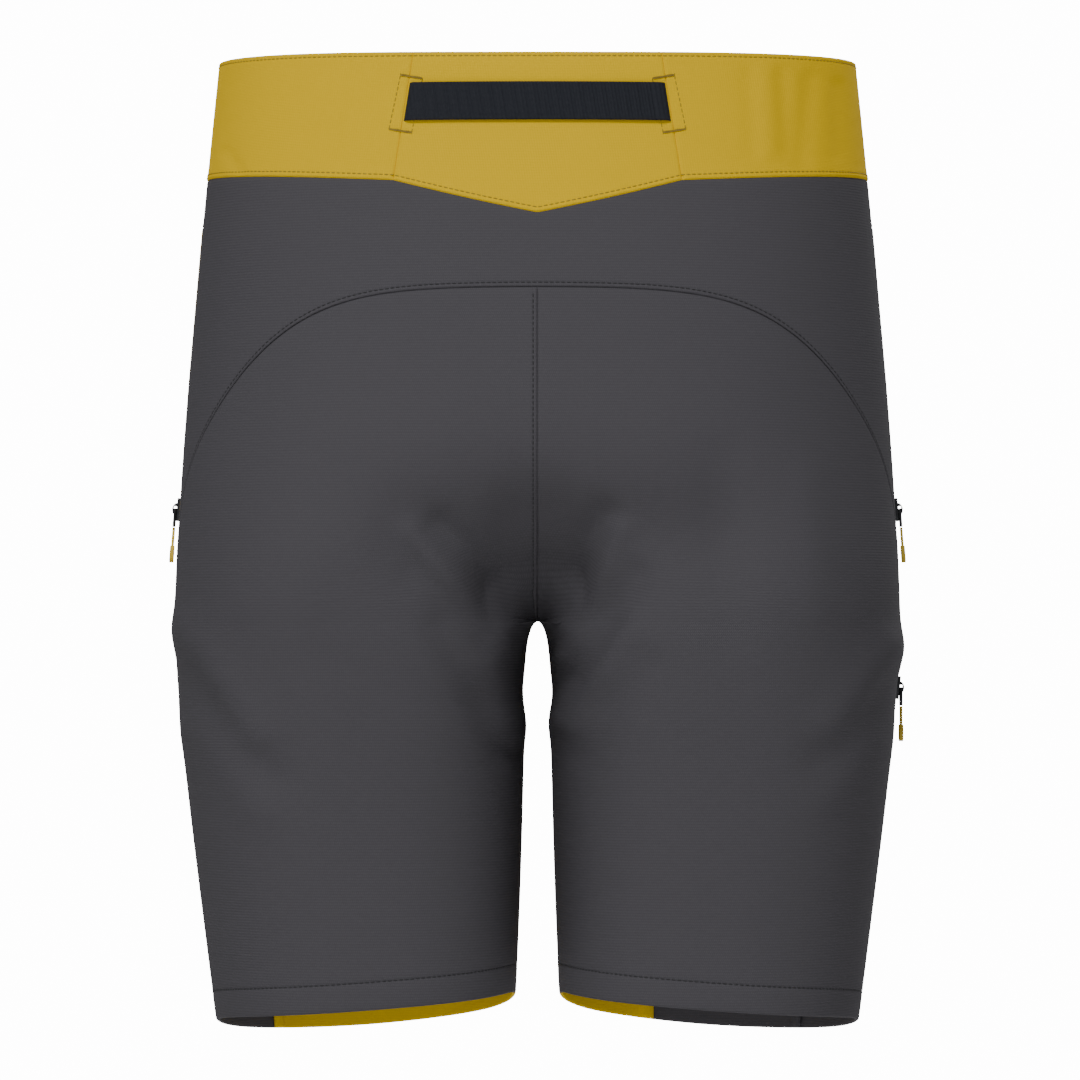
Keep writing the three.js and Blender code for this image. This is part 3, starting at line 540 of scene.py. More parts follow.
def swept(
    name: str, path: Array, out: Array, profile: Array, material: bpy.types.Material, closed: bool = False
) -> bpy.types.Object:
    """A closed solid from an outline carried along a path.

    Args:
        name: the piece's name.
        path: the points that the outline follows.
        out: the direction away from the cloth at each of them.
        profile: the outline, as a distance across and a distance out for each corner.
        material: the finish.
        closed: whether the path's end meets its start.
    """
    along, across = frames_along(path, out)
    lift = np.cross(across, along)
    sideways, upwards = profile[None, :, :1] * across[:, None], profile[None, :, 1:] * lift[:, None]
    rings = path[:, None] + sideways + upwards
    n, m = rings.shape[:2]
    index = np.arange(n * m).reshape(n, m)
    index = np.concatenate([index, index[:, :1]], axis=1)
    if closed:
        index = np.concatenate([index, index[:1]], axis=0)
    faces, points = quads_between(index), rings.reshape(-1, 3)
    if not closed:
        ends = np.stack([rings[0].mean(axis=0), rings[-1].mean(axis=0)])
        half = np.arange(0, m - 1, 2)
        pole = np.full(len(half), n * m)
        fan_a = [pole, index[0, half + 2], index[0, half + 1], index[0, half]]
        fan_b = [pole + 1, index[-1, half], index[-1, half + 1], index[-1, half + 2]]
        faces = np.concatenate([faces, np.stack(fan_a, 1), np.stack(fan_b, 1)])
        points = np.concatenate([points, ends])
    uv = np.stack(np.broadcast_arrays(profile[None, :, 0], travelled(path)[:, None]), axis=-1).reshape(-1, 2)
    if not closed:
        uv = np.concatenate([uv, uv[:1], uv[-1:]])
    return mesh_object(name, points, outward(points, faces), material, uv)


def oval(width: float, height: float, corners: int = 12, squareness: float = 3.0) -> Array:
    """A flat outline between an ellipse and a box, as corners round the origin."""
    u, v = boxy(np.arange(corners) * 2 * math.pi / corners, 2 / squareness)
    return np.stack([width / 2 * u, height / 2 * v], axis=1)


# ---------------------------------------------------------------- Finishes


class Nodes:
    """A material's or a group's nodes, with short ways to add and link them."""

    def __init__(self, tree: bpy.types.NodeTree) -> None:
        """Starts on a tree."""
        self.tree = tree

    def add(self, kind: str, **settings: object) -> bpy.types.Node:
        """A new node, with its settings."""
        node = self.tree.nodes.new(kind)
        for key, value in settings.items():
            setattr(node, key, value)
        return node

    def link(self, source: bpy.types.NodeSocket, target: bpy.types.NodeSocket) -> None:
        """Joins two sockets."""
        self.tree.links.new(source, target)

    def math(self, operation: str, *values: object) -> bpy.types.NodeSocket:
        """A Math node's result, from numbers or sockets."""
        node = self.add("ShaderNodeMath", operation=operation)
        for socket, value in zip(node.inputs, values):
            if isinstance(value, bpy.types.NodeSocket):
                self.link(value, socket)
            else:
                socket.default_value = value
        return node.outputs[0]


def new_group(
    name: str, inputs: dict[str, tuple[str, object]], outputs: dict[str, str]
) -> bpy.types.NodeTree:
    """An empty shader node group with named sockets, whose kinds are the ends of their type names."""
    group = bpy.data.node_groups.new(name, "ShaderNodeTree")
    for label, (kind, value) in inputs.items():
        socket = group.interface.new_socket(label, in_out="INPUT", socket_type=f"NodeSocket{kind}")
        if value is not None:
            socket.default_value = value
    for label, kind in outputs.items():
        group.interface.new_socket(label, in_out="OUTPUT", socket_type=f"NodeSocket{kind}")
    return group


def weave_group() -> bpy.types.NodeTree:
    """A weave on flat cloth: short floats in rows, each row half a step along from the one above.

    Height is a sine across the cloth times half a sine down each row, and Shade is the same pattern
    broken up by uneven yarns.
    """
    inputs = {
        "Cloth": ("Vector", None), "Across": ("Float", 1.0), "Down": ("Float", 1.0), "Shift": ("Float", 0.5),
    }
    group = new_group("Weave", inputs, {"Height": "Float", "Shade": "Float"})
    n = Nodes(group)
    given, result = n.add("NodeGroupInput"), n.add("NodeGroupOutput")
    parts = n.add("ShaderNodeSeparateXYZ")
    n.link(given.outputs["Cloth"], parts.inputs[0])
    row = n.math("DIVIDE", parts.outputs[1], given.outputs["Down"])
    step = n.math("MULTIPLY", n.math("FLOOR", row), given.outputs["Shift"])
    column = n.math("ADD", n.math("DIVIDE", parts.outputs[0], given.outputs["Across"]), step)
    wave = n.math("SINE", n.math("MULTIPLY", column, 2 * math.pi))
    dome = n.math("SINE", n.math("MULTIPLY", n.math("FRACT", row), math.pi))
    height = n.math("MULTIPLY_ADD", n.math("MULTIPLY", wave, dome), 0.35, n.math("MULTIPLY", dome, 0.65))
    yarn = n.add("ShaderNodeTexNoise", noise_dimensions="2D")
    n.link(given.outputs["Cloth"], yarn.inputs["Vector"])
    yarn.inputs["Scale"].default_value = 0.9
    yarn.inputs["Detail"].default_value = 2.0
    shade = n.math("ADD", n.math("MULTIPLY", height, 0.6), n.math("MULTIPLY", yarn.outputs["Fac"], 0.4))
    n.link(height, result.inputs["Height"])
    n.link(shade, result.inputs["Shade"])
    return group


def wear_group() -> bpy.types.NodeTree:
    """Slow, cloudy changes of tone over the garment, from Object coordinates."""
    group = new_group("Wear", {"Place": ("Vector", None), "Amount": ("Float", 0.1)}, {"Tone": "Float"})
    n = Nodes(group)
    given, result = n.add("NodeGroupInput"), n.add("NodeGroupOutput")
    cloud = n.add("ShaderNodeTexNoise")
    n.link(given.outputs["Place"], cloud.inputs["Vector"])
    cloud.inputs["Scale"].default_value = 14.0
    cloud.inputs["Detail"].default_value = 3.0
    centred = n.math("SUBTRACT", cloud.outputs["Fac"], 0.5)
    n.link(n.math("MULTIPLY_ADD", centred, given.outputs["Amount"], 1.0), result.inputs["Tone"])
    return group


@dataclass(frozen=True)
class ClothFinish:
    """A woven or knitted cloth: its colour, its yarns in millimetres and how it takes light."""

    name: str
    colour: tuple[float, float, float]
    across: float = 0.9
    down: float = 1.3
    shift: float = 0.5
    contrast: float = 0.16
    bump: float = 0.25
    roughness: float = 0.9
    sheen: float = 0.25
    cloud: float = 0.1
    holes: float = 0.0

    def build(self, weave: bpy.types.NodeTree, wear: bpy.types.NodeTree) -> bpy.types.Material:
        """The material, with its weave on the cloth's own flat coordinates."""
        material = bpy.data.materials.new(self.name)
        material.use_nodes = True
        n = Nodes(material.node_tree)
        shader = n.tree.nodes["Principled BSDF"]
        flat = n.add("ShaderNodeUVMap", uv_map="Cloth")
        place = n.add("ShaderNodeTexCoord")
        pattern = n.add("ShaderNodeGroup", node_tree=weave)
        n.link(flat.outputs["UV"], pattern.inputs["Cloth"])
        for label, value in (("Across", self.across), ("Down", self.down), ("Shift", self.shift)):
            pattern.inputs[label].default_value = value
        tone = n.add("ShaderNodeGroup", node_tree=wear)
        n.link(place.outputs["Object"], tone.inputs["Place"])
        tone.inputs["Amount"].default_value = self.cloud
        lit = n.math("MULTIPLY_ADD", pattern.outputs["Shade"], self.contrast, 1 - self.contrast * 0.5)
        colour = n.add("ShaderNodeMix", data_type="RGBA", blend_type="MULTIPLY")
        colour.inputs["Factor"].default_value = 1.0
        colour.inputs[6].default_value = (*self.colour, 1.0)
        grey = n.add("ShaderNodeCombineColor")
        value = n.math("MULTIPLY", lit, tone.outputs["Tone"])
        for channel in range(3):
            n.link(value, grey.inputs[channel])
        n.link(grey.outputs[0], colour.inputs[7])
        n.link(colour.outputs[2], shader.inputs["Base Color"])
        rough = n.math("MULTIPLY_ADD", pattern.outputs["Height"], -0.08, self.roughness)
        n.link(rough, shader.inputs["Roughness"])
        bump = n.add("ShaderNodeBump")
        bump.inputs["Strength"].default_value = self.bump
        bump.inputs["Distance"].default_value = 0.0003
        n.link(pattern.outputs["Height"], bump.inputs["Height"])
        n.link(bump.outputs[0], shader.inputs["Normal"])
        if self.holes:
            solid = n.math("GREATER_THAN", pattern.outputs["Height"], self.holes)
            n.link(solid, shader.inputs["Alpha"])
        shader.inputs["Sheen Weight"].default_value = self.sheen
        shader.inputs["Sheen Tint"].default_value = (*(min(1.0, 1.3 * c) for c in self.colour), 1.0)
        shader.inputs["Sheen Roughness"].default_value = 0.5
        shader.inputs["Specular IOR Level"].default_value = 0.12
        return material


@dataclass(frozen=True)
class HardFinish:
    """A metal, thread or moulded finish with fine grain."""

    name: str
    colour: tuple[float, float, float]
    roughness: float = 0.4
    metallic: float = 0.0
    grain: float = 900.0
    bump: float = 0.1
    variation: float = 0.15

    def build(self) -> bpy.types.Material:
        """The material, with its grain on Object coordinates."""
        material = bpy.data.materials.new(self.name)
        material.use_nodes = True
        n = Nodes(material.node_tree)
        shader = n.tree.nodes["Principled BSDF"]
        place = n.add("ShaderNodeTexCoord")
        grain = n.add("ShaderNodeTexNoise")
        n.link(place.outputs["Object"], grain.inputs["Vector"])
        grain.inputs["Scale"].default_value = self.grain
        grain.inputs["Detail"].default_value = 2.0
        ramp = n.add("ShaderNodeMix", data_type="RGBA")
        n.link(grain.outputs["Fac"], ramp.inputs["Factor"])
        dark, light = 1 - self.variation, 1 + self.variation
        ramp.inputs[6].default_value = (*(c * dark for c in self.colour), 1.0)
        ramp.inputs[7].default_value = (*(min(1.0, c * light) for c in self.colour), 1.0)
        n.link(ramp.outputs[2], shader.inputs["Base Color"])
        rough = n.math("MULTIPLY_ADD", grain.outputs["Fac"], 0.15, self.roughness - 0.07)
        n.link(rough, shader.inputs["Roughness"])
        bump = n.add("ShaderNodeBump")
        bump.inputs["Strength"].default_value = self.bump
        bump.inputs["Distance"].default_value = 0.0002
        n.link(grain.outputs["Fac"], bump.inputs["Height"])
        n.link(bump.outputs[0], shader.inputs["Normal"])
        shader.inputs["Metallic"].default_value = self.metallic
        return material


class Look(Enum):
    """Every finish on the garment."""

    BAND = ClothFinish("band_knit", (0.70, 0.45, 0.0), 1.15, 0.75, 0.0, 0.2, 0.3, 0.85, 0.3, 0.06)
    YELLOW = ClothFinish("yellow_shell", (0.66, 0.43, 0.0), 0.9, 1.3, 0.5, 0.14, 0.2, 0.88, 0.25, 0.06)
    GREY = ClothFinish("grey_shell", (0.069, 0.066, 0.074), 0.9, 1.3, 0.5, 0.3, 0.25, 0.9, 0.12, 0.06)
    TRICOT = ClothFinish("facing_tricot", (0.5, 0.34, 0.035), 0.7, 0.9, 0.5, 0.2, 0.3, 0.95, 0.5, 0.1)
    ELASTIC = ClothFinish("elastic_webbing", (0.022, 0.024, 0.031), 2.1, 0.55, 0.0, 0.9, 0.9, 0.75, 0.2, 0.1)
    MESH = ClothFinish("pocket_mesh", (0.02, 0.021, 0.024), 2.0, 1.7, 0.5, 0.3, 0.6, 0.8, 0.3, 0.1)
    PAD_MESH = ClothFinish("pad_mesh", (0.02, 0.021, 0.024), 3.0, 2.6, 0.5, 0.3, 0.6, 0.8, 0.3, 0.1)
    TAPE = ClothFinish("zip_tape", (0.5, 0.345, 0.03), 0.6, 1.2, 0.5, 0.3, 0.4, 0.8, 0.2, 0.05)
    YELLOW_THREAD = HardFinish("yellow_thread", (0.27, 0.18, 0.016), 0.7, 0.0, 2500.0, 0.3)
    GREY_THREAD = HardFinish("grey_thread", (0.012, 0.012, 0.014), 0.65, 0.0, 2500.0, 0.3)
    COIL = HardFinish("zip_coil", (0.5, 0.33, 0.025), 0.4, 0.0, 1200.0, 0.1)
    GUNMETAL = HardFinish("gunmetal", (0.05, 0.051, 0.056), 0.38, 0.9, 700.0, 0.08)
    NICKEL = HardFinish("nickel", (0.55, 0.55, 0.56), 0.28, 1.0, 500.0, 0.05)
    CORD = HardFinish("pull_cord", (0.62, 0.43, 0.03), 0.6, 0.0, 1500.0, 0.4)
    FOAM = HardFinish("pad_foam", (0.7, 0.17, 0.03), 0.6, 0.0, 1400.0, 0.35, 0.1)


class Wardrobe:
    """The built finishes, made once each."""

    def __init__(self) -> None:
        """Builds every finish."""
        weave, wear = weave_group(), wear_group()
        self.made: dict[Look, bpy.types.Material] = {}
        for look in Look:
            finish = look.value
            is_cloth = isinstance(finish, ClothFinish)
            self.made[look] = finish.build(weave, wear) if is_cloth else finish.build()

    def __getitem__(self, look: Look) -> bpy.types.Material:
        """The material of a look."""
        return self.made[look]


# ---------------------------------------------------------------- Cloth panels


@dataclass
class Strip:
    """The skin between two lines, with the true distance along it at every height.

    The distances are kept on a table whose heights crowd together at the crotch, where the strip
    grows quickly, and whose columns crowd together at the centre planes, where the skin bends most.

    Args:
        skin: the skin.
        first, last: g of the two sides at a height.
        top, foot: the highest and lowest heights.
        past: whether the table runs on past each side.
        spare: how far it runs on.
        far: a distance longer than any row, which keeps the rows apart when they are searched as one.
    """

    skin: Skin
    first: Curve
    last: Curve
    top: float
    foot: float
    past: tuple[bool, bool] = (True, True)
    spare: float = 9.0
    far: float = 5000.0

    def __post_init__(self) -> None:
        """Fills the table."""
        crotch = self.skin.crotch
        above = crotch + np.array([0, 0.01, 0.03, 0.08, 0.15, 0.3, 0.5, 0.8, 1.2, 1.8, 2.6, 3.8, 5.5])
        below = crotch - np.array([0.05, 0.2, 0.5, 1.0, 2.0])
        heights = np.concatenate([np.linspace(self.foot, self.top, 170), above, below])
        self.z = np.unique(heights[(heights >= self.foot) & (heights <= self.top)])
        a, b = self.first(self.z), self.last(self.z)
        spare = self.spare / self.skin.girth
        stops = [a - spare, a] if self.past[0] else [a]
        stops += [np.full_like(a, s) for s in (0.0, 1.0) if a.mean() < s - 0.003 and b.mean() > s + 0.003]
        stops += [b, b + spare] if self.past[1] else [b]
        ease = (1 - np.cos(np.linspace(0, math.pi, 150))) / 2
        parts = [lerp(p[:, None], q[:, None], ease[None, :-1]) for p, q in zip(stops[:-1], stops[1:])]
        self.g = np.concatenate([*parts, stops[-1][:, None]], axis=1)
        points = self.skin.point(self.g, self.z[:, None])
        step = np.linalg.norm(np.diff(points, axis=1), axis=-1)
        self.s = np.concatenate([np.zeros((len(self.z), 1)), np.cumsum(step, axis=1)], axis=1)
        if self.past[0]:
            self.s -= self.s[:, len(ease) - 1 : len(ease)]
        self.length_at = self.s[:, -len(ease)] if self.past[1] else self.s[:, -1]
        self.s = np.maximum.accumulate(self.s + np.arange(self.s.shape[1]) * 1e-7, axis=1)

    def length(self, z: Array) -> Array:
        """The distance along the skin between the two sides at the heights z."""
        return np.interp(z, self.z, self.length_at)

    def at(self, z: Array, s: Array, from_last: Array) -> Array:
        """g at the heights z and the distances s from the first side, or from the last one."""
        z = np.clip(z, self.z[0], self.z[-1])
        low = np.clip(np.searchsorted(self.z, z, side="right") - 1, 0, len(self.z) - 2)
        k = (z - self.z[low]) / (self.z[low + 1] - self.z[low])
        rows = np.arange(len(self.z))[:, None] * self.far
        flat_s, flat_g = (self.s + rows).ravel(), self.g.ravel()
        found = []
        for row in (low, low + 1):
            measured = np.where(from_last, self.length_at[row] - s, s)
            held = np.clip(measured, self.s[row, 0], self.s[row, -1])
            found.append(np.interp(held + row * self.far, flat_s, flat_g))
        return lerp(found[0], found[1], k)


@dataclass(frozen=True)
class Edge:
    """How a panel ends: for each step in from the seam, a distance, a height and a count of layers."""

    steps: tuple[tuple[float, float, float], ...]

    def columns(self) -> tuple[Array, Array, Array]:
        """The distances, heights and layers as arrays."""
        d, h, n = np.array(self.steps, float).T
        return d, h, n


def plain_steps(pairs: Sequence[tuple[float, float]]) -> Edge:
    """An edge of one layer, from (distance, height) pairs."""
    return Edge(tuple((d, h, 1.0) for d, h in pairs))


LAP = plain_steps(
    [(0.0, -0.6), (0.2, -0.24), (0.6, 0.0), (1.1, 0.1), (1.6, -0.08), (1.95, -0.22), (2.3, -0.08),
     (3.0, 0.06), (4.2, 0)]
)
SEAM = plain_steps([(0.0, -0.6), (0.2, -0.3), (0.6, -0.08), (1.4, 0), (3, 0)])
TUCK = plain_steps(
    [(-6, -2.0), (-1.6, -1.9), (-0.5, -1.5), (0.1, -0.85), (0.6, -0.35), (1.4, -0.06), (3, 0)]
)
WAIST = plain_steps(
    [(0, -0.4), (0.3, -0.06), (0.8, 0.05), (1.4, -0.04), (1.9, -0.22), (2.4, -0.04), (3.4, 0)]
)
BAND_FOOT = plain_steps(
    [(-0.4, -0.15), (0.0, 0.2), (0.4, 0.42), (1.0, 0.42), (1.5, 0.12), (1.9, 0.05), (2.3, 0.12), (3.4, 0.1),
     (5.5, 0)]
)
ROUND = plain_steps([(0, -0.35), (0.25, -0.08), (0.7, 0), (2.0, 0)])
HEM = Edge(
    (
        (0, -0.45, 1.2),
        (0.35, -0.08, 1.8),
        (1.0, 0.05, 2),
        (4.0, 0.12, 2),
        (8.0, 0.12, 2),
        (11.6, 0.1, 2),
        (12.5, -0.05, 2),
        (13.0, -0.28, 2),
        (13.5, -0.08, 1.9),
        (14.3, 0.08, 1.1),
        (16.5, 0, 1),
    )
)


@dataclass
class Panel:
    """One cut piece of cloth on the skin.

    Args:
        name: the piece's name.
        sign: 1 for the left half, -1 for the right half.
        strip: the skin that it covers.
        top, foot: heights of its ends at a g of the strip.
        edges: how its first side, last side, top and foot end.
        counts: how many columns and rows lie between the edges.
        crotch: the height of the row that the others crowd round, if it has one.
        base: how far out of the skin it lies.
        thickness: of one layer.
        ribs: the pitch and height of ribs that run down it.
        settle: the share of its width, from the inseam, whose columns take up the growth at the crotch.
        calm_reach, calm_samples: the heights over which that growth is averaged out.
        crowding: how much more the rows crowd at the inseam, above and below the crotch.
    """

    name: str
    sign: int
    strip: Strip
    top: Curve
    foot: Curve
    edges: tuple[Edge, Edge, Edge, Edge]
    counts: tuple[int, int]
    crotch: float | None = None
    base: float = 0.0
    thickness: float = 0.95
    ribs: tuple[float, float] | None = None
    settle: float = 0.42
    calm_reach: float = 36.0
    calm_samples: int = 13
    crowding: tuple[float, float] = (1.6, 0.9)

    def lines(self, near: Edge, far: Edge, count: int) -> tuple[Array, ...]:
        """The lines across one direction: kind (0 near, 1 between, 2 far), position, height, layers."""
        (dn, hn, ln), (df, hf, lf) = near.columns(), far.columns()
        between = np.linspace(0, 1, count + 2)[1:-1]
        kind = np.concatenate([np.zeros(len(dn)), np.ones(count), np.full(len(df), 2)])
        position = np.concatenate([dn, between, df[::-1]])
        height = np.concatenate([hn, np.zeros(count), hf[::-1]])
        return kind, position, height, np.concatenate([ln, np.ones(count), lf[::-1]])

    def distances(self, z: Array, kind: Array, position: Array) -> Array:
        """The distance from the first side of each column at the heights z.

        The columns keep their distance from the side that is far from the crotch, and only those in
        the nearer part take up the strip's quick growth there.
        """
        length = self.strip.length(z)
        near, far = self.edges[0].steps[-1][0], self.edges[1].steps[-1][0]
        if self.crotch is None:
            between = lerp(near, length - far, position)
        else:
            around = np.linspace(-self.calm_reach, self.calm_reach, self.calm_samples)
            calm = sum(self.strip.length(z + dz) for dz in around) / self.calm_samples
            towards = self.nearness(kind, position)
            change = length - calm
            shift = change * (1 - towards) if self.settles_first() else change * towards
            between = lerp(near, calm - far, position) + shift
        return np.where(kind == 1, between, position)

    def settles_first(self) -> bool:
        """Whether the inseam is the first side."""
        return not self.strip.past[0]

    def settles_last(self) -> bool:
        """Whether the inseam is the last side."""
        return not self.strip.past[1]

    def nearness(self, kind: Array, position: Array) -> Array:
        """How near each column is to the inseam, from 0 to 1 at the inseam."""
        across = np.where(kind == 0, 0.0, np.where(kind == 2, 1.0, position))
        if self.settles_first() == self.settles_last():
            return np.zeros_like(across)
        away = across if self.settles_first() else 1 - across
        return smooth(share(1 - away / self.settle))

    def heights(self, g: Array, kind: Array, position: Array, near: Array) -> Array:
        """The height of each grid point, given its g.

        Rows crowd towards the crotch as a power of their place, which is high at the inseam and 1
        away from it, so that they meet the inseam at even steps.
        """
        top, foot = self.top(g), self.foot(g)
        down_a, down_b = self.edges[2].steps[-1][0], self.edges[3].steps[-1][0]
        high, low = top - down_a, foot + down_b
        if self.crotch is None:
            between = lerp(high, low, position)
        else:
            above = share(1 - 2 * position) ** (1 + self.crowding[0] * near)
            below = share(2 * position - 1) ** (1 + self.crowding[1] * near)
            between = np.where(position < 0.5, lerp(self.crotch, high, above), lerp(self.crotch, low, below))
        return np.where(kind == 0, top - position, np.where(kind == 2, foot + position, between))

    def grid(self) -> tuple[Array, Array, Array, Array, Array]:
        """g, z, height out of the skin, thickness and distance, on the panel's rows and columns."""
        ck, cp, ch, cl = (v[None, :] for v in self.lines(self.edges[0], self.edges[1], self.counts[0]))
        rk, rp, rh, rl = (v[:, None] for v in self.lines(self.edges[2], self.edges[3], self.counts[1]))
        middle = np.full((rk.size, ck.size), (self.strip.top + self.strip.foot) / 2)
        g = self.strip.at(middle, self.distances(middle, ck, cp), ck == 2)
        near = self.nearness(ck, cp)
        for _ in range(9):
            z = self.heights(g, rk, rp, near)
            s = self.distances(np.clip(z, self.strip.foot, self.strip.top), ck, cp)
            g = self.strip.at(z, s, ck == 2)
        s = np.where(ck == 2, self.strip.length(z) - s, s)
        height = np.where((ch < 0) | (rh < 0), np.minimum(ch, rh), np.maximum(ch, rh))
        if self.ribs:
            height = height + self.ribs[1] * np.cos(2 * math.pi * s / self.ribs[0])
        return self.sign * g, z, height + self.base, np.maximum(cl, rl) * self.thickness, s

    def build(self, skin: Skin, drape: "Drape", material: bpy.types.Material) -> bpy.types.Object:
        """The closed mesh of the panel, with the size that it was cut to noted in "cut"."""
        g, z, height, thick, s = self.grid()
        flat_points = skin.point(g, z)
        out = skin.normal(g, z)
        outer = drape.moved(flat_points, out, height)
        inner = drape.moved(flat_points, out, height - thick)
        piece = slab(self.name, outer, inner, material, np.stack([s, z], axis=-1))
        note_cut(piece, flat_points, np.mean)
        return piece


def note_cut(piece: bpy.types.Object, surface: Array, width_of: Callable[[Array], float] = np.max) -> None:
    """Notes the flat size of a grid of points in "cut": its width, its longest column and its area.

    Args:
        piece: the sheet.
        surface: the points, row by row.
        width_of: what makes one width from the lengths of the rows.
    """
    across = surface[1:, :-1] - surface[:-1, :-1]
    along = surface[:-1, 1:] - surface[:-1, :-1]
    area = float(np.linalg.norm(np.cross(across, along), axis=-1).sum()) * MM * MM
    width = float(width_of(np.linalg.norm(np.diff(surface, axis=1), axis=-1).sum(axis=1))) * MM
    length = float(np.linalg.norm(np.diff(surface, axis=0), axis=-1).sum(axis=0).max()) * MM
    piece["cut"] = [width, length, min(area, width * length)]


def spindles(
    at: Array, along: Array, out: Array, length: float, radius: float, dip: float
) -> tuple[Array, Array]:
    """The points and quads of many small spindles, for stitches and zip teeth.

    Each is a few rings of points. Its radius is a half ellipse along it, and its ends dip by the
    square of the distance from its middle.

    Args:
        at: their middles.
        along: their directions.
        out: the directions away from the cloth.
        length: of each.
        radius: at the middle.
        dip: how far their ends dip.
    """
    along = along / np.linalg.norm(along, axis=1, keepdims=True)
    side = np.cross(along, out)
    side /= np.linalg.norm(side, axis=1, keepdims=True)
    rise = np.cross(side, along)
    s, ring = np.array(SPINDLE_PLACES), radius * np.array(SPINDLE_RADII)
    angle = np.arange(SPINDLE_CORNERS) * 2 * math.pi / SPINDLE_CORNERS
    offset = (
        along[:, None, None] * (s * length / 2)[None, :, None, None]
        + side[:, None, None] * (ring[:, None] * np.cos(angle))[None, :, :, None]
        + rise[:, None, None] * (ring[:, None] * np.sin(angle) - dip * s[:, None] ** 2)[None, :, :, None]
    )
    points = (at[:, None, None] + offset).reshape(-1, 3)
    n, m = len(s), len(angle)
    one = np.arange(n * m).reshape(n, m)
    one = np.concatenate([one, one[:, :1]], axis=1)
    quads = quads_between(one)
    first, last = one[0], one[-1]
    caps = [first[[3, 2, 1, 0]], first[[0, 5, 4, 3]], last[[0, 1, 2, 3]], last[[3, 4, 5, 0]]]
    quads = np.concatenate([quads, np.array(caps)])
    quads = outward(points[: n * m] - points[: n * m].mean(axis=0), quads)
    faces = (quads[None] + (np.arange(len(at)) * n * m)[:, None, None]).reshape(-1, 4)
    return points, faces


@dataclass(frozen=True)
class Stitching:
    """A lockstitch: its pitch, the length and half thickness of what shows, and how far its ends dip."""

    pitch: float = 2.65
    length: float = 2.05
    radius: float = 0.24
    dip: float = 0.22

    def build(self, path: Array, out: Array) -> tuple[Array, Array]:
        """The points and quads of every stitch along a path, spaced by its true length."""
        step = travelled(path)
        middles = np.arange(self.pitch / 2, max(step[-1], self.pitch * 0.6), self.pitch)
        along, _ = frames_along(path, out)
        at, direction, normal = (interpolated(middles, step, v) for v in (path, along, out))
        return spindles(at, direction, normal, self.length, self.radius, self.dip)


@dataclass(frozen=True)
class ZipLine:
    """A zip's frame on the skin: its foot, the directions along, out and across, and its length.

    Args:
        name: the zip's name.
        g: g of its middle at a height.
        foot, top: the heights of its ends.
    """

    name: str
    g: Curve
    foot: float
    top: float

    def frame(self, skin: Skin) -> tuple[Array, Array, Array, Array, float]:
        """The foot, the across, out and up directions, and the length, as in the CAD model."""
        ends = np.array([self.foot, self.top])
        foot, top = skin.point(self.g(ends), ends)
        up = (top - foot) / np.linalg.norm(top - foot)
        z = np.array([self.foot, (self.foot + self.top) / 2, self.top])
        out = skin.normal(self.g(z), z).sum(axis=0)
        out -= up * out.dot(up)
        out /= np.linalg.norm(out)
        return foot, np.cross(out, up), out, up, float(np.linalg.norm(top - foot))


@dataclass(frozen=True)
class ZipSizes:
    """The sizes that all the zips share."""

    opening: float = 9.4
    coil_top: float = -0.2
    tape: float = 15.0
    tape_top: float = -3.0
    tape_thick: float = 0.6
    past: float = 1.6
    pitch: float = 1.3
    tooth: float = 2.9
    tooth_radius: float = 0.62
    tooth_overlap: float = 0.45
    row_drop: float = 1.15
    tooth_slant: float = 0.12
    tooth_dip: float = 0.12
    rail_place: float = 2.3
    rail_drop: float = 1.3
    rail: tuple[float, float] = (1.3, 1.9)
    welt: float = 1.5
    welt_height: float = 1.3


@dataclass
class Sewing:
    """What every sub-assembly needs: the pattern, the folds and the finishes.

    Args:
        pattern: the seam lines.
        drape: the folds.
        looks: the built finishes.
    """

    pattern: Pattern
    drape: Drape
    looks: Wardrobe

    def on_skin(self, g: Array, z: Array, out: float) -> tuple[Array, Array]:
        """Points a little out of the draped skin at (g, z), and the directions out of it."""
        points, normal = self.pattern.skin.point(g, z), self.pattern.skin.normal(g, z)
        return self.drape.moved(points, normal, np.broadcast_to(out, points.shape[:-1])), normal

    def band_side(self, z: Array) -> Array:
        """t of the seam beside the centre back panel of the waistband."""
        return self.pattern.skin.t_at_x(self.pattern.band_seam_x(z), z, False)

    def declare(self, piece: bpy.types.Object, body: str, nodes: Sequence[str], slot: str = "") -> None:
        """Rides the piece on its body, and hides the CAD nodes that it stands for."""
        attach(piece, body)
        if nodes:
            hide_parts(*nodes)

    def sheet(self, piece: bpy.types.Object, held: str, rests_on: Sequence[str]) -> None:
        """Drops the note of the size that the sheet was cut to."""
        del piece["cut"]

    def stitches(
        self,
        name: str,
        rows: Sequence[tuple[Array, Array]],
        look: Look,
        slot: str,
        body: str = "shorts",
        stitching: Stitching = Stitching(),
    ) -> bpy.types.Object:
        """One piece of all the stitches along several paths, each given with its directions out."""
        points, faces, count = [], [], 0
        for path, normal in rows:
            some_points, some_faces = stitching.build(path, normal)
            points.append(some_points)
            faces.append(some_faces + count)
            count += len(some_points)
        piece = mesh_object(name, np.concatenate(points), np.concatenate(faces), self.looks[look])
        self.declare(piece, body, [], slot)
        LOG.info("%s: %d stitches", name, count // (len(SPINDLE_PLACES) * SPINDLE_CORNERS))
        return piece


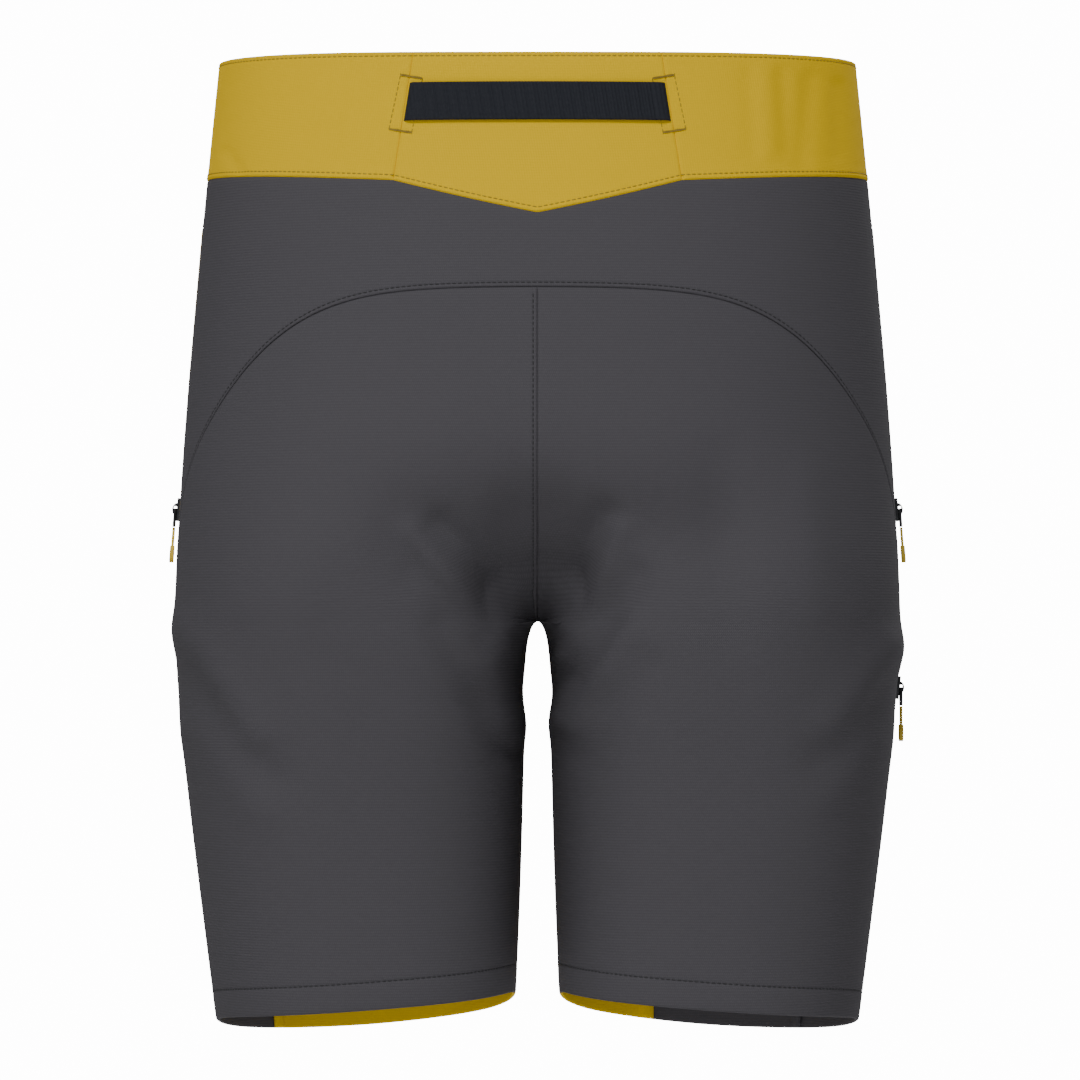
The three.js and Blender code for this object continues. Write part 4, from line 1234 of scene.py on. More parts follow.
@dataclass
class Shell(Sewing):
    """The outer panels and the waistband, and the stitching that joins them.

    Args:
        centre_seam: half the slit of the centre seam.
        groove: how far inside an edge its stitching runs.
        left_end, right_end: how far the waistband's ends stand from the centre front.
        zip_beside: how far in front of the side seam the hand pocket zips lie.
        sunk, hem_sunk, band_sunk: how high the stitches lie at seams, at the hem and at the waist edge.
        hem_row, band_row, band_foot_height: how far in from its edge each row runs, and the height of the
            waistband's lower one.
        tack_height, tack_side_height: how high the bar tacks and the sides of their boxes lie.
    """

    centre_seam: float = 0.02
    groove: float = 1.95
    left_end: float = 14.0
    right_end: float = 4.2
    zip_beside: float = 9.3
    sunk: float = -0.02
    hem_sunk: float = -0.05
    band_sunk: float = -0.04
    hem_row: float = 13.0
    band_row: float = 1.9
    band_foot_height: float = 0.2
    tack_height: float = 0.25
    tack_side_height: float = 0.1

    def zip_lines(self) -> list[ZipLine]:
        """The four zips."""
        p = self.pattern
        beside = self.zip_beside / p.skin.girth
        return [
            ZipLine("hand_left", lambda z: p.side_t(z) + beside, -226, -78),
            ZipLine("hand_right", lambda z: -(p.side_t(z) + beside), -226, -78),
            ZipLine("thigh", level(-0.522), -412, -290),
            ZipLine("fly", level(1.0), -194, -80),
        ]

    def leg(
        self,
        name: str,
        sign: int,
        sides: tuple[Curve, Curve],
        top: Curve,
        past: tuple[bool, bool],
        side_edges: tuple[Edge, Edge],
        columns: int,
        settle: float,
    ) -> Panel:
        """A panel that runs down to the hem."""
        p = self.pattern
        highest = -105.0 if top == p.yoke_z else -52.0
        strip = Strip(p.skin, *sides, highest, -466.0, past)
        edges, counts = (*side_edges, TUCK, HEM), (columns, 150)
        crotch = p.skin.crotch
        return Panel(
            f"cloth_{name}", sign, strip, top, p.hem_z, edges, counts, crotch=crotch, settle=settle
        )

    def panels(self) -> list[tuple[Panel, Look, str]]:
        """Every panel with its look and the node that it stands for."""
        p = self.pattern
        back = lambda z: p.centre_t(z, False, self.centre_seam)
        front = lambda z: p.centre_t(z, True, self.centre_seam)
        side, split, seam = p.side_t, p.split_t, self.band_side
        left_end = lambda z: p.skin.t_at_x(self.left_end, z, True)
        right_end = lambda z: 2 - p.skin.t_at_x(self.right_end, z, True)
        inner, outer, both = (False, True), (True, False), (True, True)
        waist, foot = p.waist_z, p.band_foot_z
        yoke = Strip(p.skin, lambda z: -side(z), side, -54.0, -250.0)
        edges = (LAP, LAP, TUCK, LAP)
        made = [(Panel("cloth_back_yoke", 1, yoke, foot, p.yoke_z, edges, (190, 56)), Look.GREY, "back_yoke")]
        legs = (
            ("back_left", 1, (back, side), p.yoke_z, inner, (LAP, LAP), 96, 0.42, Look.GREY),
            ("back_right", -1, (back, side), p.yoke_z, inner, (SEAM, LAP), 96, 0.42, Look.GREY),
            ("front_left", 1, (side, front), foot, outer, (TUCK, SEAM), 80, 0.42, Look.YELLOW),
            ("front_right_outer", -1, (side, split), foot, both, (TUCK, LAP), 60, 0.42, Look.GREY),
            ("front_right_inner", -1, (split, front), foot, outer, (TUCK, SEAM), 40, 1.0, Look.YELLOW),
        )
        for name, *cloth, look in legs:
            made.append((self.leg(name, *cloth), look, name.replace("_", "_panel_", 1)))
        bands = (
            ("back", 1, Strip(p.skin, lambda z: -seam(z), seam, 2.0, -76.0), 70),
            ("left", 1, Strip(p.skin, seam, left_end, 2.0, -77.0), 150),
            ("right", -1, Strip(p.skin, seam, right_end, 2.0, -77.0), 160),
        )
        edges = (SEAM, SEAM, WAIST, BAND_FOOT)
        for name, sign, strip, columns in bands:
            panel = Panel(f"cloth_band_{name}", sign, strip, waist, foot, edges, (columns, 34))
            made.append((panel, Look.BAND, f"waistband_{name}"))
        return made

    def build(self) -> None:
        """Makes and declares every panel and its stitching."""
        channels = {line.name: self.channel(line) for line in self.zip_lines()}
        cuts = {
            "cloth_back_right": ["thigh"],
            "cloth_front_left": ["hand_left", "fly"],
            "cloth_front_right_outer": ["hand_right"],
            "cloth_front_right_inner": ["fly"],
        }
        for panel, look, node in self.panels():
            piece = panel.build(self.pattern.skin, self.drape, self.looks[look])
            for name in cuts.get(panel.name, []):
                cut_away(piece, channels[name])
            self.declare(piece, "shorts", [node])
            self.sheet(piece, "hung", [])
        for channel in channels.values():
            bpy.data.objects.remove(channel)
        grey, yellow = self.seam_lines()
        self.stitches("stitches_shell", grey, Look.GREY_THREAD, "shell_grey")
        self.stitches("stitches_band", yellow, Look.YELLOW_THREAD, "waistband_knit")
        self.band_tacks()

    def channel(self, line: ZipLine) -> bpy.types.Object:
        """A block as wide as a zip's opening, that is cut out of the shell."""
        foot, across, out, up, length = line.frame(self.pattern.skin)
        half = ZipSizes().opening / 2
        u, v = boxy(np.arange(24) * math.pi / 12 + math.pi / 24, 0.35)
        ring = np.stack([u * half, v * (length / 2 - 0.6)], axis=1)
        middle = foot + up * length / 2
        rings = np.stack([middle + across * ring[:, :1] + up * ring[:, 1:] + out * h for h in (-9.0, 9.0)])
        m = len(ring)
        walls = [[i, (i + 1) % m, (i + 1) % m + m, i + m] for i in range(m)]
        mesh = bpy.data.meshes.new("channel")
        faces = [*walls, list(range(m))[::-1], list(range(m, 2 * m))]
        mesh.from_pydata((rings.reshape(-1, 3) * MM).tolist(), [], faces)
        made = bpy.data.objects.new("channel", mesh)
        bpy.context.scene.collection.objects.link(made)
        normals_outward(made)
        return made

    def seam_lines(self) -> tuple[list[tuple[Array, Array]], list[tuple[Array, Array]]]:
        """The paths of the dark and of the yellow stitching, with their directions out."""
        p, girth, groove = self.pattern, self.pattern.skin.girth, self.groove
        many = 500
        ease = (1 - np.cos(np.linspace(0, math.pi, many))) / 2
        dark = []
        half = np.linspace(0, p.side_join - 0.004, many)
        for sign in (1, -1):
            dark.append(self.on_skin(sign * half, p.yoke_z(half) + groove, self.sunk))
        z = lerp(p.yoke - 3, p.skin.crotch + 0.4, ease)
        dark.append(self.on_skin(p.skin.t_at_x(self.centre_seam + groove, z, False), z, self.sunk))
        for sign in (1, -1):
            g = np.linspace(groove / girth, 1 - groove / girth, many)
            dark.append(self.on_skin(sign * g, p.hem_z(g) + self.hem_row, self.hem_sunk))
            z = np.linspace(p.band_foot_z(p.side_top) - 1, p.hem_z(p.side_hem) + 14, many)
            dark.append(self.on_skin(sign * (p.side_t(z) - groove / girth), z, self.sunk))
        z = np.linspace(p.waist_front - p.band_front - 2, p.skin.hem + 5, many)
        dark.append(self.on_skin(groove / girth - p.split_t(z), z, self.sunk))
        half_way = np.array(-45.0)
        left_t = float(p.skin.t_at_x(self.left_end + 1, half_way, True))
        right_t = float(2 - p.skin.t_at_x(self.right_end, half_way, True))
        yellow = []
        for g in (np.linspace(0, left_t, many), np.linspace(0, -right_t, many)):
            t = np.abs(g)
            yellow.append(self.on_skin(g, p.waist_z(t) - self.band_row, self.band_sunk))
            yellow.append(self.on_skin(g, p.band_foot_z(t) + self.band_row, self.band_foot_height))
        return dark, yellow

    def band_tacks(self) -> None:
        """The bar tacks and the dashed sides of the box that holds each end of the rear elastic."""
        bars, sides = [], []
        corners = {"top": ((53.4, -14.0), (63.6, -12.1)), "foot": ((58.3, -39.4), (68.9, -37.5))}
        turns, sway = 22, 0.45
        for sign in (1, -1):
            for start, end in corners.values():
                x = np.linspace(start[0], end[0], turns)
                z = np.linspace(start[1], end[1], turns) + sway * np.where(np.arange(turns) % 2, 1, -1)
                g = sign * self.pattern.skin.t_at_x(x, z, False)
                bars.append(self.on_skin(g, z, self.tack_height))
            for k in (0, 1):
                (x0, z0), (x1, z1) = corners["top"][k], corners["foot"][k]
                x, z = np.linspace(x0, x1, 60), np.linspace(z0, z1, 60)
                g = sign * self.pattern.skin.t_at_x(x, z, False)
                sides.append(self.on_skin(g, z, self.tack_side_height))
        dense = Stitching(pitch=0.5, length=1.0, radius=0.2, dip=0.05)
        self.stitches("tacks_band", bars, Look.YELLOW_THREAD, "waistband_knit", stitching=dense)
        self.stitches("stitches_elastic_ends", sides, Look.YELLOW_THREAD, "waistband_knit")


def normals_outward(piece: bpy.types.Object) -> None:
    """Turns the faces of a closed mesh outwards."""
    work = bmesh.new()
    work.from_mesh(piece.data)
    bmesh.ops.recalc_face_normals(work, faces=work.faces)
    work.to_mesh(piece.data)
    work.free()


def applied(piece: bpy.types.Object) -> None:
    """Applies the modifiers of a piece to its mesh."""
    graph = bpy.context.evaluated_depsgraph_get()
    done = bpy.data.meshes.new_from_object(piece.evaluated_get(graph))
    old, name = piece.data, piece.data.name
    piece.modifiers.clear()
    piece.data = done
    bpy.data.meshes.remove(old)
    done.name = name


def cut_away(piece: bpy.types.Object, tool: bpy.types.Object) -> None:
    """Subtracts a closed block from a piece."""
    cutter = piece.modifiers.new("cut", "BOOLEAN")
    cutter.operation, cutter.solver, cutter.object = "DIFFERENCE", "EXACT", tool
    note = list(piece["cut"])
    applied(piece)
    piece["cut"] = note


@dataclass
class Waist(Sewing):
    """The rear elastic, the facings, and the tab that closes the waistband.

    Args:
        elastic_top, elastic_height, elastic_base: where the elastic runs, and how far out it stands.
        ribs: the pitch and height of its ribs.
        facing_depth, facing_cloth: how deep the facings lie, and their thickness.
        facing_seam, facing_slit, facing_end: t of the facings' seams, half the slit there, and their end.
        tab_root, tab_end, tab_lift, tab_cloth: x of the tab's ends, how far it stands off, its thickness.
        hinge: the middle of the line that the tab turns about, in metres. Not used.
        bend: x where the tab's cloth starts to bend and where it turns whole, in metres. Not used.
    """

    elastic_top: float = -16.1
    elastic_height: float = 17.6
    elastic_base: float = 2.0
    ribs: tuple[float, float] = (1.5, 0.14)
    facing_depth: float = 4.4
    facing_cloth: float = 0.7
    facing_seam: float = 0.13
    facing_slit: float = 0.0005
    facing_end: float = 0.9
    tab_root: float = 14.6
    tab_end: float = 29.0
    tab_lift: float = 3.0
    tab_cloth: float = 1.1
    hinge: tuple[float, float, float] = (0.0134, -0.10215, -0.0465)
    bend: tuple[float, float] = (0.0146, 0.0112)

    def build(self) -> None:
        """Makes the elastic, the facings and the tab."""
        self.elastic()
        self.facings()
        self.tab()

    def elastic(self) -> None:
        """The ribbed strip across the centre back, whose ends turn in under the side panels."""
        seam, skin = self.band_side, self.pattern.skin
        strip = Strip(skin, lambda z: -seam(z), seam, 2.0, -60.0)
        top, foot = self.elastic_top, self.elastic_top - self.elastic_height
        end = plain_steps(
            [(-9, -4.6), (-1.5, -4.5), (-0.2, -3.9), (0.5, -2.6), (1.2, -1.3), (2.4, -0.55), (4.5, -0.15),
             (7.5, 0)]
        )
        rim = plain_steps([(0, -0.3), (0.3, -0.05), (0.8, 0.1), (1.4, 0.0)])
        panel = Panel(
            "cloth_rear_elastic", 1, strip, level(top), level(foot), (end, end, rim, rim), (460, 22),
            base=self.elastic_base, ribs=self.ribs,
        )
        piece = panel.build(skin, self.drape, self.looks[Look.ELASTIC])
        self.declare(piece, "shorts", ["rear_elastic"], "elastic")
        self.sheet(piece, "stretched", ["cloth_band_back"])

    def facings(self) -> None:
        """The brushed inside of the waistband, whose top edge meets the shell's."""
        p = self.pattern
        top = plain_steps([(0.2, 3.25), (0.5, 3.0), (1.2, 2.0), (2.2, 0.8), (3.6, 0.15), (5.5, 0)])
        foot = plain_steps([(-0.6, -0.3), (0, 0), (1.2, 0.1), (2.2, -0.15), (3.2, 0), (5, 0)])
        before, past = self.facing_seam - self.facing_slit, self.facing_seam + self.facing_slit
        spans = {
            "facing_back": (1, -before, before),
            "facing_left": (1, past, self.facing_end),
            "facing_right": (-1, past, self.facing_end),
        }
        for node, (sign, start, end) in spans.items():
            strip = Strip(p.skin, level(start), level(end), 2.0, -77.0)
            panel = Panel(
                f"cloth_{node}", sign, strip, p.waist_z, p.band_foot_z, (ROUND, ROUND, top, foot), (110, 26),
                base=-self.facing_depth, thickness=self.facing_cloth,
            )
            piece = panel.build(p.skin, self.drape, self.looks[Look.TRICOT])
            self.declare(piece, "shorts", [node], "facing_tricot")
            self.sheet(piece, "hung", [])

    def tab(self) -> None:
        """The tab that snaps over the right band. It bends where it is sewn to the left band."""
        p = self.pattern
        first = lambda z: p.skin.t_at_x(self.tab_root, z, True)
        last = lambda z: 2 - p.skin.t_at_x(self.tab_end, z, True)
        strip = Strip(p.skin, first, last, 2.0, -77.0)
        root = plain_steps(
            [(0, -3.4), (0.5, -2.9), (1.4, -2.75), (2.4, -2.5), (3.6, -2.0), (5.2, -1.2), (7.0, -0.5),
             (9.0, -0.1), (11.5, 0)]
        )
        end = plain_steps(
            [(0, -0.35), (0.25, -0.05), (0.8, 0.08), (1.5, 0.02), (1.95, -0.15), (2.4, 0.02), (3.5, 0)]
        )
        panel = Panel(
            "cloth_waist_tab", 1, strip, p.waist_z, p.band_foot_z, (root, end, end, end), (40, 44),
            base=self.tab_lift, thickness=self.tab_cloth,
        )
        piece = panel.build(p.skin, self.drape, self.looks[Look.BAND])
        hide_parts("waist_tab")
        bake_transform(piece)
        self.sheet(piece, "folded", ["cloth_band_right"])
        rows = []
        for x0, z0, x1, z1 in ((-3, 2, -27, 2), (-27, 2, -27, 55), (-27, 55, -3, 55)):
            x, down = np.linspace(x0, x1, 60), np.linspace(z0, z1, 60)
            t = p.skin.t_at_x(np.abs(x), p.waist_front - down, True)
            z = lerp(p.waist_z(t), p.band_foot_z(t), down / p.band_front)
            rows.append(self.on_skin(-t, z, self.tab_lift - 0.02))
        self.stitches("stitches_tab", rows, Look.YELLOW_THREAD, "waistband_knit", "waist_tab")


@dataclass
class Zips(Sewing):
    """The tapes, teeth and welts of the four zips, and their sliders and pulls."""

    lines: Sequence[ZipLine] = ()
    sizes: ZipSizes = field(default_factory=ZipSizes)

    def build(self) -> None:
        """Makes each zip."""
        for line in self.lines:
            self.chain(line)
            self.welt(line)
            for part, look, slot in (
                ("slider", Look.GUNMETAL, "zip_metal"),
                ("link", Look.GUNMETAL, "zip_metal"),
                ("cord", Look.CORD, "pull_cord"),
            ):
                self.eased(f"{line.name}_zip_{part}", look, slot)

    def chain(self, line: ZipLine) -> None:
        """The woven tape and two rows of teeth that lock between each other."""
        sizes = self.sizes
        foot, across, out, up, length = line.frame(self.pattern.skin)
        run = np.linspace(-sizes.past, length + sizes.past, 60)[:, None]
        path = foot + up * run + out * (sizes.tape_top - sizes.tape_thick / 2)
        profile = oval(sizes.tape, sizes.tape_thick, 16, 8.0)
        along_out = np.broadcast_to(out, path.shape)
        tape = swept(f"tape_{line.name}", path, along_out, profile, self.looks[Look.TAPE])
        self.declare(tape, "shorts", [f"{line.name}_zip_chain"], "zip_coil")
        steps = np.arange(1.0, length - 0.8, sizes.pitch)
        radius = sizes.tooth_radius
        points, faces, count = [], [], 0
        for side, shift in ((-1, 0.0), (1, sizes.pitch / 2)):
            for deeper in (0, 1):
                height = sizes.coil_top - radius - deeper * sizes.row_drop
                middle = side * (sizes.tooth / 2 - sizes.tooth_overlap)
                at = foot + up * (steps + shift)[:, None] + across * middle + out * height
                along = np.broadcast_to(across * side + up * sizes.tooth_slant, at.shape)
                outs = np.broadcast_to(out, at.shape)
                some, quads = spindles(at, along, outs, sizes.tooth, radius, sizes.tooth_dip)
                points.append(some)
                faces.append(quads + count)
                count += len(some)
        for side in (-1, 1):
            drop = sizes.coil_top - sizes.rail_drop
            cord = foot + up * run + across * side * sizes.rail_place + out * drop
            rail = oval(*sizes.rail, 10, 2.0)
            piece = swept(f"rail_{line.name}_{side}", cord, along_out, rail, self.looks[Look.COIL])
            self.declare(piece, "shorts", [], "zip_coil")
        points, faces = np.concatenate(points), np.concatenate(faces)
        teeth = mesh_object(f"teeth_{line.name}", points, faces, self.looks[Look.COIL])
        self.declare(teeth, "shorts", [], "zip_coil")

    def welt(self, line: ZipLine) -> None:
        """A rolled edge of cloth round the opening, and the stitching outside it."""
        sizes, skin = self.sizes, self.pattern.skin
        u, v = boxy(np.linspace(0, 2 * math.pi, 161), 0.3)

        def round_opening(half: float, spare: float, height: float) -> tuple[Array, Array]:
            """A path round the opening: half its width, how far past the zip it runs, and its height."""
            z = lerp(line.foot - spare, line.top + spare, (v + 1) / 2)
            g = line.g(z)
            step = 1e-3
            inward = np.where(np.abs(g) > 0.99, -step, step)
            speed = np.linalg.norm(skin.point(g + inward, z) - skin.point(g, z), axis=1) / step
            speed = np.where(np.abs(np.abs(g) - 1) < 1e-6, np.nan, speed)
            if np.isnan(speed).any():
                x = u * half
                t = skin.t_at_x(np.abs(x), z, True)
                return self.on_skin(np.where(x < 0, -t, t), z, height)
            return self.on_skin(g + u * half / speed, z, height)

        path, out = round_opening(sizes.opening / 2 + 0.1, -0.9, -0.25)
        even = resampled(path, 180)
        normal = resampled(out, 180)
        roll = oval(sizes.welt, sizes.welt_height, 10, 2.0)
        look = Look.YELLOW if line.name in ("fly", "hand_left") else Look.GREY
        piece = swept(f"welt_{line.name}", even, normal, roll, self.looks[look], closed=True)
        slot = "shell_yellow" if look is Look.YELLOW else "shell_grey"
        self.declare(piece, "shorts", [], slot)
        thread = Look.YELLOW_THREAD if look is Look.YELLOW else Look.GREY_THREAD
        row = round_opening(sizes.opening / 2 + 2.6, 1.8, 0.1)
        self.stitches(f"stitches_zip_{line.name}", [row], thread, slot)

    def eased(self, node: str, look: Look, slot: str) -> None:
        """A copy of a CAD node with its edges eased."""
        original = frame["nodes"][node]
        piece = bpy.data.objects.new(f"eased_{node}", original.data.copy())
        bpy.context.scene.collection.objects.link(piece)
        weld = piece.modifiers.new("weld", "WELD")
        weld.merge_threshold = EASED_WELD
        bevel = piece.modifiers.new("bevel", "BEVEL")
        bevel.width, bevel.segments, bevel.limit_method = EASED_WIDTH, 2, "ANGLE"
        bevel.angle_limit = math.radians(EASED_FROM)
        applied(piece)
        piece.data.materials.clear()
        piece.data.materials.append(self.looks[look])
        piece.data.polygons.foreach_set("use_smooth", np.ones(len(piece.data.polygons), bool))
        piece.data.polygons.foreach_set("material_index", np.zeros(len(piece.data.polygons), np.int32))
        piece.data.set_sharp_from_angle(angle=math.radians(EASED_SHARP))
        bodies = frame["record"]["behaviour"]["bodies"]
        body = next(name for name, nodes in bodies.items() if node in nodes)
        self.declare(piece, body, [node], slot)


def resampled(path: Array, count: int) -> Array:
    """The points of a closed path, spaced evenly along it, without its last point again."""
    step = travelled(path)
    at = np.linspace(0, step[-1], count + 1)[:-1]
    return interpolated(at, step, path)


@dataclass(frozen=True)
class PadPlace:
    """Where a pad lies: g and z of its middle, half its width and height, and how deep it lies."""

    name: str
    g: float
    z: float
    wide: float
    high: float
    depth: float
    rounding: float


def rounded(a: Array, b: Array, rounding: float) -> tuple[Array, Array]:
    """A square's points moved so that the square's corners become round."""
    return a * np.sqrt(1 - b * b * rounding / 2), b * np.sqrt(1 - a * a * rounding / 2)


@dataclass
class Lining(Sewing):
    """The pads, the mesh pockets that hold them, the pocket bags and the fly shield.

    Args:
        shell_depth, bag_depth, under_bag_depth: how deep things lie under the shell and under a bag.
        thick, edge: the pads' thickness, in the middle and at the edge.
        clear, margin: how far beside a pad its pocket starts to fall, and where the pocket ends.
        layer, cloth: the room over a pad, and the thickness of the mesh.
        channel_pitch, channel_depth, channel_width, channel_slope: the pads' moulded channels.
        ripple, bag_ripple: how high the mesh ripples, on the pads and on the bags.
        bag_rounding: how round the bags' corners are.
        fill: the share of a pad that is foam. Not used.
        shield: half the width of the fly shield, and the heights of its ends.
        side: how many points a pad has along each side.
    """

    shell_depth: float = 2.7
    bag_depth: float = 5.0
    under_bag_depth: float = 6.7
    thick: float = 8.0
    edge: float = 3.0
    clear: float = 1.2
    margin: float = 9.0
    layer: float = 0.9
    cloth: float = 0.7
    channel_pitch: float = 17.0
    channel_depth: float = 1.5
    channel_width: float = 1.7
    channel_slope: float = 0.62
    ripple: float = 0.25
    bag_ripple: float = 0.18
    bag_rounding: float = 0.35
    fill: float = 0.6
    shield: tuple[float, float, float] = (19.0, -76.0, -200.0)
    side: int = 46

    def places(self) -> list[PadPlace]:
        """The seven pads."""
        made = [PadPlace("tailbone", 0.0, -152, 38, 44, self.shell_depth, 0.5)]
        for name, sign, thigh in (("left", 1, self.shell_depth + 1.8), ("right", -1, self.under_bag_depth)):
            made += [
                PadPlace(f"seat_{name}", sign * 0.21, -186, 34, 42, self.shell_depth, 0.7),
                PadPlace(f"hip_{name}", sign * 0.475, -198, 50, 58, self.under_bag_depth, 0.6),
                PadPlace(f"thigh_{name}", sign * 0.62, -345, 42, 50, thigh, 0.6),
            ]
        return made

    def build(self) -> None:
        """Makes every pad, pocket and bag."""
        for place in self.places():
            self.pad(place)
            self.pocket(place)
        spans = (
            ("hand_pocket_bag_left", 1, 0.455, 0.655, -70.0, -244.0),
            ("hand_pocket_bag_right", -1, 0.455, 0.655, -70.0, -244.0),
            ("thigh_pocket_bag", -1, 0.49, 0.66, -280.0, -424.0),
        )
        for node, sign, t0, t1, top, foot in spans:
            self.bag(node, sign, t0, t1, top, foot)
        self.fly_shield()

    def layered(self, g: Array, z: Array, depth: Array, thick: Array) -> tuple[Array, Array]:
        """The outer and inner points of a layer under the draped skin."""
        return self.on_skin(g, z, -depth)[0], self.on_skin(g, z, -depth - thick)[0]

    def pad_thickness(self, a: Array, b: Array) -> Array:
        """How thick a pad is at (a, b), where 1 is its edge: full, falling away near the edge."""
        return lerp(self.edge, self.thick, 1 - np.maximum(np.abs(a), np.abs(b)) ** 4)

    def pad(self, place: PadPlace) -> None:
        """A foam pad with a round edge and moulded channels on its inner face.

        The channels are bell-shaped hollows along two families of slanting lines.
        """
        turn = math.pi / 2 * 0.8
        line = np.sin(np.linspace(-turn, turn, self.side)) / math.sin(turn)
        a, b = np.meshgrid(line, line)
        u, v = rounded(a, b, place.rounding)
        g = place.g + u * place.wide / self.pattern.skin.girth
        z = place.z + v * place.high
        rim = np.maximum(np.abs(a), np.abs(b)) ** 30
        x, y = u * place.wide, v * place.high
        hollow = np.zeros_like(x)
        for slope in (self.channel_slope, -self.channel_slope):
            offset = (x + slope * y) / self.channel_pitch
            near = np.abs(offset - np.round(offset)) * self.channel_pitch
            hollow = np.maximum(hollow, np.exp(-((near / self.channel_width) ** 2)))
        inside = share((1 - np.maximum(np.abs(a), np.abs(b))) / 0.12)
        thick = self.pad_thickness(a, b) - hollow * inside * self.channel_depth - 2 * rim
        outer, inner = self.layered(g, z, place.depth + rim, thick)
        uv = np.stack([x, y], axis=-1)
        piece = slab(f"foam_{place.name}_pad", outer, inner, self.looks[Look.FOAM], uv)
        self.declare(piece, "shorts", [f"{place.name}_pad"], "pad_foam")

    def pocket(self, place: PadPlace) -> None:
        """The mesh pocket: over the pad's inner face, and down to the shell all round it."""
        skirt = np.array([self.margin, 7.6, 6.0, 4.4, 3.0, 2.0, self.clear, 0.5])
        line = np.linspace(-1, 1, 36)
        lines = np.concatenate([-1 - skirt, line, (1 + skirt)[::-1]])
        p, q = np.meshgrid(lines, lines)
        a, b = np.clip(p, -1, 1), np.clip(q, -1, 1)
        u, v = rounded(a, b, place.rounding)
        away_a, away_b = p - a, q - b
        corner = (away_a != 0) & (away_b != 0)
        cut = rounded(np.ones(1), np.ones(1), place.rounding)[0][0]
        keep = np.where(corner, cut, 1.0)
        girth = self.pattern.skin.girth
        g = place.g + (u * place.wide + keep * away_a) / girth
        z = place.z + v * place.high + keep * away_b
        away = np.maximum(np.abs(away_a), np.abs(away_b))
        down = share((away - self.clear) / (self.margin - self.clear - 1.4))
        ripple = self.ripple * np.sin(u * 9 + v * 5) * share(1 - away)
        ripple = ripple * (1 - np.maximum(np.abs(a), np.abs(b)) ** 6)
        depth = place.depth + lerp(self.pad_thickness(a, b) + self.layer + ripple, 0.0, smooth(down))
        outer, inner = self.layered(g, z, depth, np.full_like(depth, self.cloth))
        uv = np.stack([u * place.wide + away_a, v * place.high + away_b], axis=-1)
        piece = slab(f"cloth_{place.name}_pad_pocket", outer, inner, self.looks[Look.PAD_MESH], uv)
        self.declare(piece, "shorts", [f"{place.name}_pad_pocket"], "pad_mesh")
        note_cut(piece, outer)
        self.sheet(piece, "gathered", [f"foam_{place.name}_pad"])
        loop = np.linspace(0, 2 * math.pi, 241)
        c, s = np.cos(loop), np.sin(loop)
        square = np.maximum(np.abs(c), np.abs(s))
        ea, eb = rounded(c / square, s / square, place.rounding)
        reach = self.margin - 1.6
        near_corner = np.minimum(np.abs(c), np.abs(s)) / square > 0.97
        held = reach * np.where(near_corner, cut, 1.0)
        eg = place.g + (ea * place.wide + held * c / square) / girth
        ez = place.z + eb * place.high + held * s / square
        path, out = self.on_skin(eg, ez, -place.depth - self.cloth - 0.05)
        self.stitches(f"stitches_{place.name}_pocket", [(path, -out)], Look.GREY_THREAD, "pad_mesh")

    def bag(self, node: str, sign: int, t0: float, t1: float, top: float, foot: float) -> None:
        """A flat bag sewn behind a zip."""
        line = np.linspace(-1, 1, 50)
        a, b = np.meshgrid(line, line)
        u, v = rounded(a, b, self.bag_rounding)
        g = sign * lerp(t0, t1, (u + 1) / 2)
        z = lerp(top, foot, (v + 1) / 2)
        ripple = self.bag_ripple * np.sin(u * 7 - v * 4) * (1 - np.maximum(np.abs(a), np.abs(b)) ** 4)
        outer, inner = self.layered(g, z, self.bag_depth + ripple, np.full_like(g, self.cloth))
        uv = np.stack([u * (t1 - t0) * self.pattern.skin.girth / 2, z], axis=-1)
        piece = slab(f"cloth_{node}", outer, inner, self.looks[Look.MESH], uv)
        self.declare(piece, "shorts", [node], "pocket_mesh")
        note_cut(piece, outer)
        self.sheet(piece, "hung", [])

    def fly_shield(self) -> None:
        """The strip of shell cloth behind the fly zip."""
        half, top, foot = self.shield
        x, z = np.meshgrid(np.linspace(-half, half, 40), np.linspace(top, foot, 80))
        t = self.pattern.skin.t_at_x(np.abs(x), z, True)
        g = np.where(x < 0, -t, t)
        outer, inner = self.layered(g, z, np.full_like(g, self.bag_depth), np.full_like(g, self.cloth))
        piece = slab("cloth_fly_shield", outer, inner, self.looks[Look.YELLOW], np.stack([x, z], axis=-1))
        self.declare(piece, "shorts", ["fly_shield"], "shell_yellow")
        note_cut(piece, outer)
        self.sheet(piece, "hung", [])


